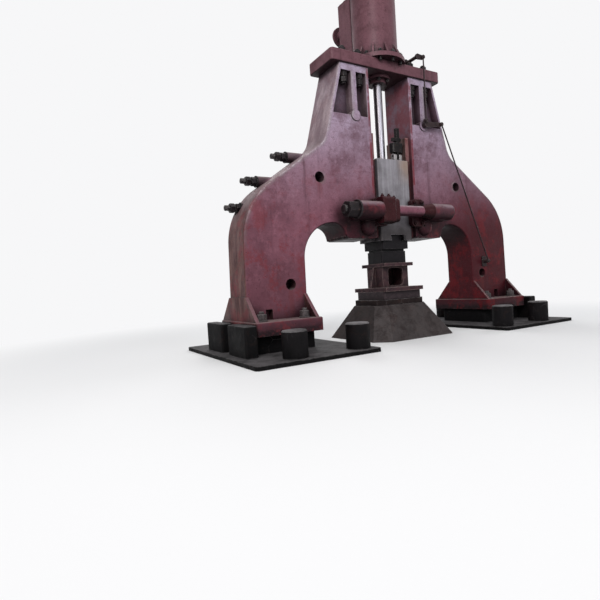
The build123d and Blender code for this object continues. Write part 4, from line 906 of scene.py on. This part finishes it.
def bead(mesh, start, end, radius, seed):
    """A fillet weld of overlapping drops between two points."""
    start, end = Vector(start), Vector(end)
    run = end - start
    count = max(6, int(run.length / WELD_DROP))
    turn = run.to_track_quat("Z", "Y").to_matrix().to_4x4()
    rings = []
    for index in range(count + 1):
        wave = 0.82 + 0.18 * abs(math.sin(index * 0.9 + seed)) + 0.06 * math.sin(index * 0.37 + 2 * seed)
        fade = min(1.0, 0.35 + min(index, count - index) * 0.35)
        rings.append((radius * wave * fade, run.length * index / count))
    lathe(mesh, Matrix.Translation(start) @ turn, rings, BEAD_FACETS)


# Welds of the prop, around its box at both ends and along its gussets, in metres: a drop's length, the beads'
# radii, half the beads' run along X and Y, and how far those of the gussets stop short of the ends
WELD_DROP = 0.007
WIDE, NARROW, FINE = 0.011, 0.010, 0.009
RUN_X, RUN_Y = 0.310, 0.220
STOP = 0.005
welds = bmesh.new()
for y in (-PROP_FACE, PROP_FACE):
    bead(welds, (-RUN_X, y, PROP_BASE), (RUN_X, y, PROP_BASE), WIDE, 1 + y)
    bead(welds, (-RUN_X, y, PROP_TOP), (RUN_X, y, PROP_TOP), NARROW, 2 + y)
for x in (-PROP_SIDE, PROP_SIDE):
    bead(welds, (x, -RUN_Y, PROP_BASE), (x, RUN_Y, PROP_BASE), WIDE, 3 + x)
    bead(welds, (x, -RUN_Y, PROP_TOP), (x, RUN_Y, PROP_TOP), NARROW, 4 + x)
    for y in (-GUSSET_HALF, GUSSET_HALF):
        bead(welds, (x * 1.003, y, PROP_BASE + STOP), (x * 1.003, y, PROP_TOP - STOP), FINE, 5 + y)
        bead(welds, (x, y, PROP_BASE), (math.copysign(GUSSET_TOE, x), y, PROP_BASE), FINE, 6 + y)
piece("prop_welds", welds, "frame", prop_paint)


def seen_rays(tree):
    """1 for rays that show the background: straight from the camera, mirrored or passed through."""
    path = tree.nodes.new("ShaderNodeLightPath")
    total = path.outputs["Is Camera Ray"]
    for kind in ("Is Glossy Ray", "Is Transmission Ray"):
        most = tree.nodes.new("ShaderNodeMath")
        most.operation = "MAXIMUM"
        tree.links.new(total, most.inputs[0])
        tree.links.new(path.outputs[kind], most.inputs[1])
        total = most.outputs[0]
    return total


# Floor, which fades into the backdrop away from the machine, between these distances in metres
BACKDROP = (0.93, 0.93, 0.94, 1)
FLOOR_COLOUR = (0.74, 0.74, 0.745, 1)
FLOOR_SIZE = 90
FADE_FROM, FADE_TO = 4.5, 10.0
bpy.ops.mesh.primitive_plane_add(size=FLOOR_SIZE, location=(0, 0, 0))
floor = bpy.context.object
floor.name = "floor"
pale = bpy.data.materials.new("floor_pale")
pale.use_nodes = True
tree = pale.node_tree
shader = tree.nodes["Principled BSDF"]
shader.inputs["Base Color"].default_value = FLOOR_COLOUR
shader.inputs["Roughness"].default_value = 0.9
place = tree.nodes.new("ShaderNodeTexCoord")
away = tree.nodes.new("ShaderNodeVectorMath")
away.operation = "LENGTH"
tree.links.new(place.outputs["Object"], away.inputs[0])
fade = tree.nodes.new("ShaderNodeMapRange")
fade.interpolation_type = "SMOOTHSTEP"
fade.inputs["From Min"].default_value = FADE_FROM
fade.inputs["From Max"].default_value = FADE_TO
tree.links.new(away.outputs["Value"], fade.inputs["Value"])
shown = tree.nodes.new("ShaderNodeMath")
shown.operation = "MULTIPLY"
tree.links.new(fade.outputs[0], shown.inputs[0])
tree.links.new(seen_rays(tree), shown.inputs[1])
backdrop = tree.nodes.new("ShaderNodeEmission")
backdrop.inputs[0].default_value = BACKDROP
blend = tree.nodes.new("ShaderNodeMixShader")
tree.links.new(shown.outputs[0], blend.inputs[0])
tree.links.new(shader.outputs[0], blend.inputs[1])
tree.links.new(backdrop.outputs[0], blend.inputs[2])
tree.links.new(blend.outputs[0], tree.nodes["Material Output"].inputs["Surface"])
floor.data.materials.append(pale)


def lamp(name, place, height, size, watts, colour=(1, 1, 1)):
    """A round lamp that points at a height above the middle of the floor."""
    data = bpy.data.lights.new(name, "AREA")
    data.shape = "DISK"
    data.size = size
    data.energy = watts
    data.color = colour
    obj = bpy.data.objects.new(name, data)
    bpy.context.scene.collection.objects.link(obj)
    obj.location = place
    obj.rotation_euler = (Vector((0, 0, height)) - obj.location).to_track_quat("-Z", "Y").to_euler()


WARM, COOL = (1.0, 0.985, 0.97), (0.97, 0.985, 1.0)
lamp("key", (-10, -10, 10.5), 2.4, 6.5, 1650, WARM)
lamp("fill", (0, -15, 6.5), 2.4, 8.0, 520, COOL)
lamp("side", (14, 1, 7), 2.4, 7.0, 420, COOL)
lamp("top", (-1, 2, 15), 2, 9.0, 600)
lamp("back", (4, 13, 8), 3, 8.0, 750)

# World: a soft sky on the object, and the backdrop's colour where it is seen
SKY, SKY_STRENGTH = (0.93, 0.96, 1.0, 1), 0.3
world = bpy.data.worlds.new("studio")
bpy.context.scene.world = world
world.use_nodes = True
tree = world.node_tree
tree.nodes.clear()
out = tree.nodes.new("ShaderNodeOutputWorld")
ambient = tree.nodes.new("ShaderNodeBackground")
ambient.inputs[0].default_value = SKY
ambient.inputs[1].default_value = SKY_STRENGTH
seen = tree.nodes.new("ShaderNodeBackground")
seen.inputs[0].default_value = BACKDROP
seen.inputs[1].default_value = 1.0
mixer = tree.nodes.new("ShaderNodeMixShader")
tree.links.new(seen_rays(tree), mixer.inputs[0])
tree.links.new(ambient.outputs[0], mixer.inputs[1])
tree.links.new(seen.outputs[0], mixer.inputs[2])
tree.links.new(mixer.outputs[0], out.inputs[0])

# Camera
forward = Vector((math.sin(YAW) * math.cos(PITCH), math.cos(YAW) * math.cos(PITCH), math.sin(PITCH)))
right = Vector((math.cos(YAW), -math.sin(YAW), 0))
up = right.cross(forward)
right_rolled = right * math.cos(ROLL) + up * math.sin(ROLL)
up_rolled = -right * math.sin(ROLL) + up * math.cos(ROLL)
camera_data = bpy.data.cameras.new("camera")
camera_data.sensor_width = SENSOR_MM
camera_data.lens = FOCAL_PX * SENSOR_MM / FRAME_PX
camera_data.clip_end = 200
camera = bpy.data.objects.new("camera", camera_data)
bpy.context.scene.collection.objects.link(camera)
rows = Matrix((right_rolled, up_rolled, -forward)).transposed().to_4x4()
camera.matrix_world = Matrix.Translation(CAMERA_PLACE) @ rows
bpy.context.scene.camera = camera
bpy.context.scene.view_settings.view_transform = "Standard"


bpy.context.view_layer.update()
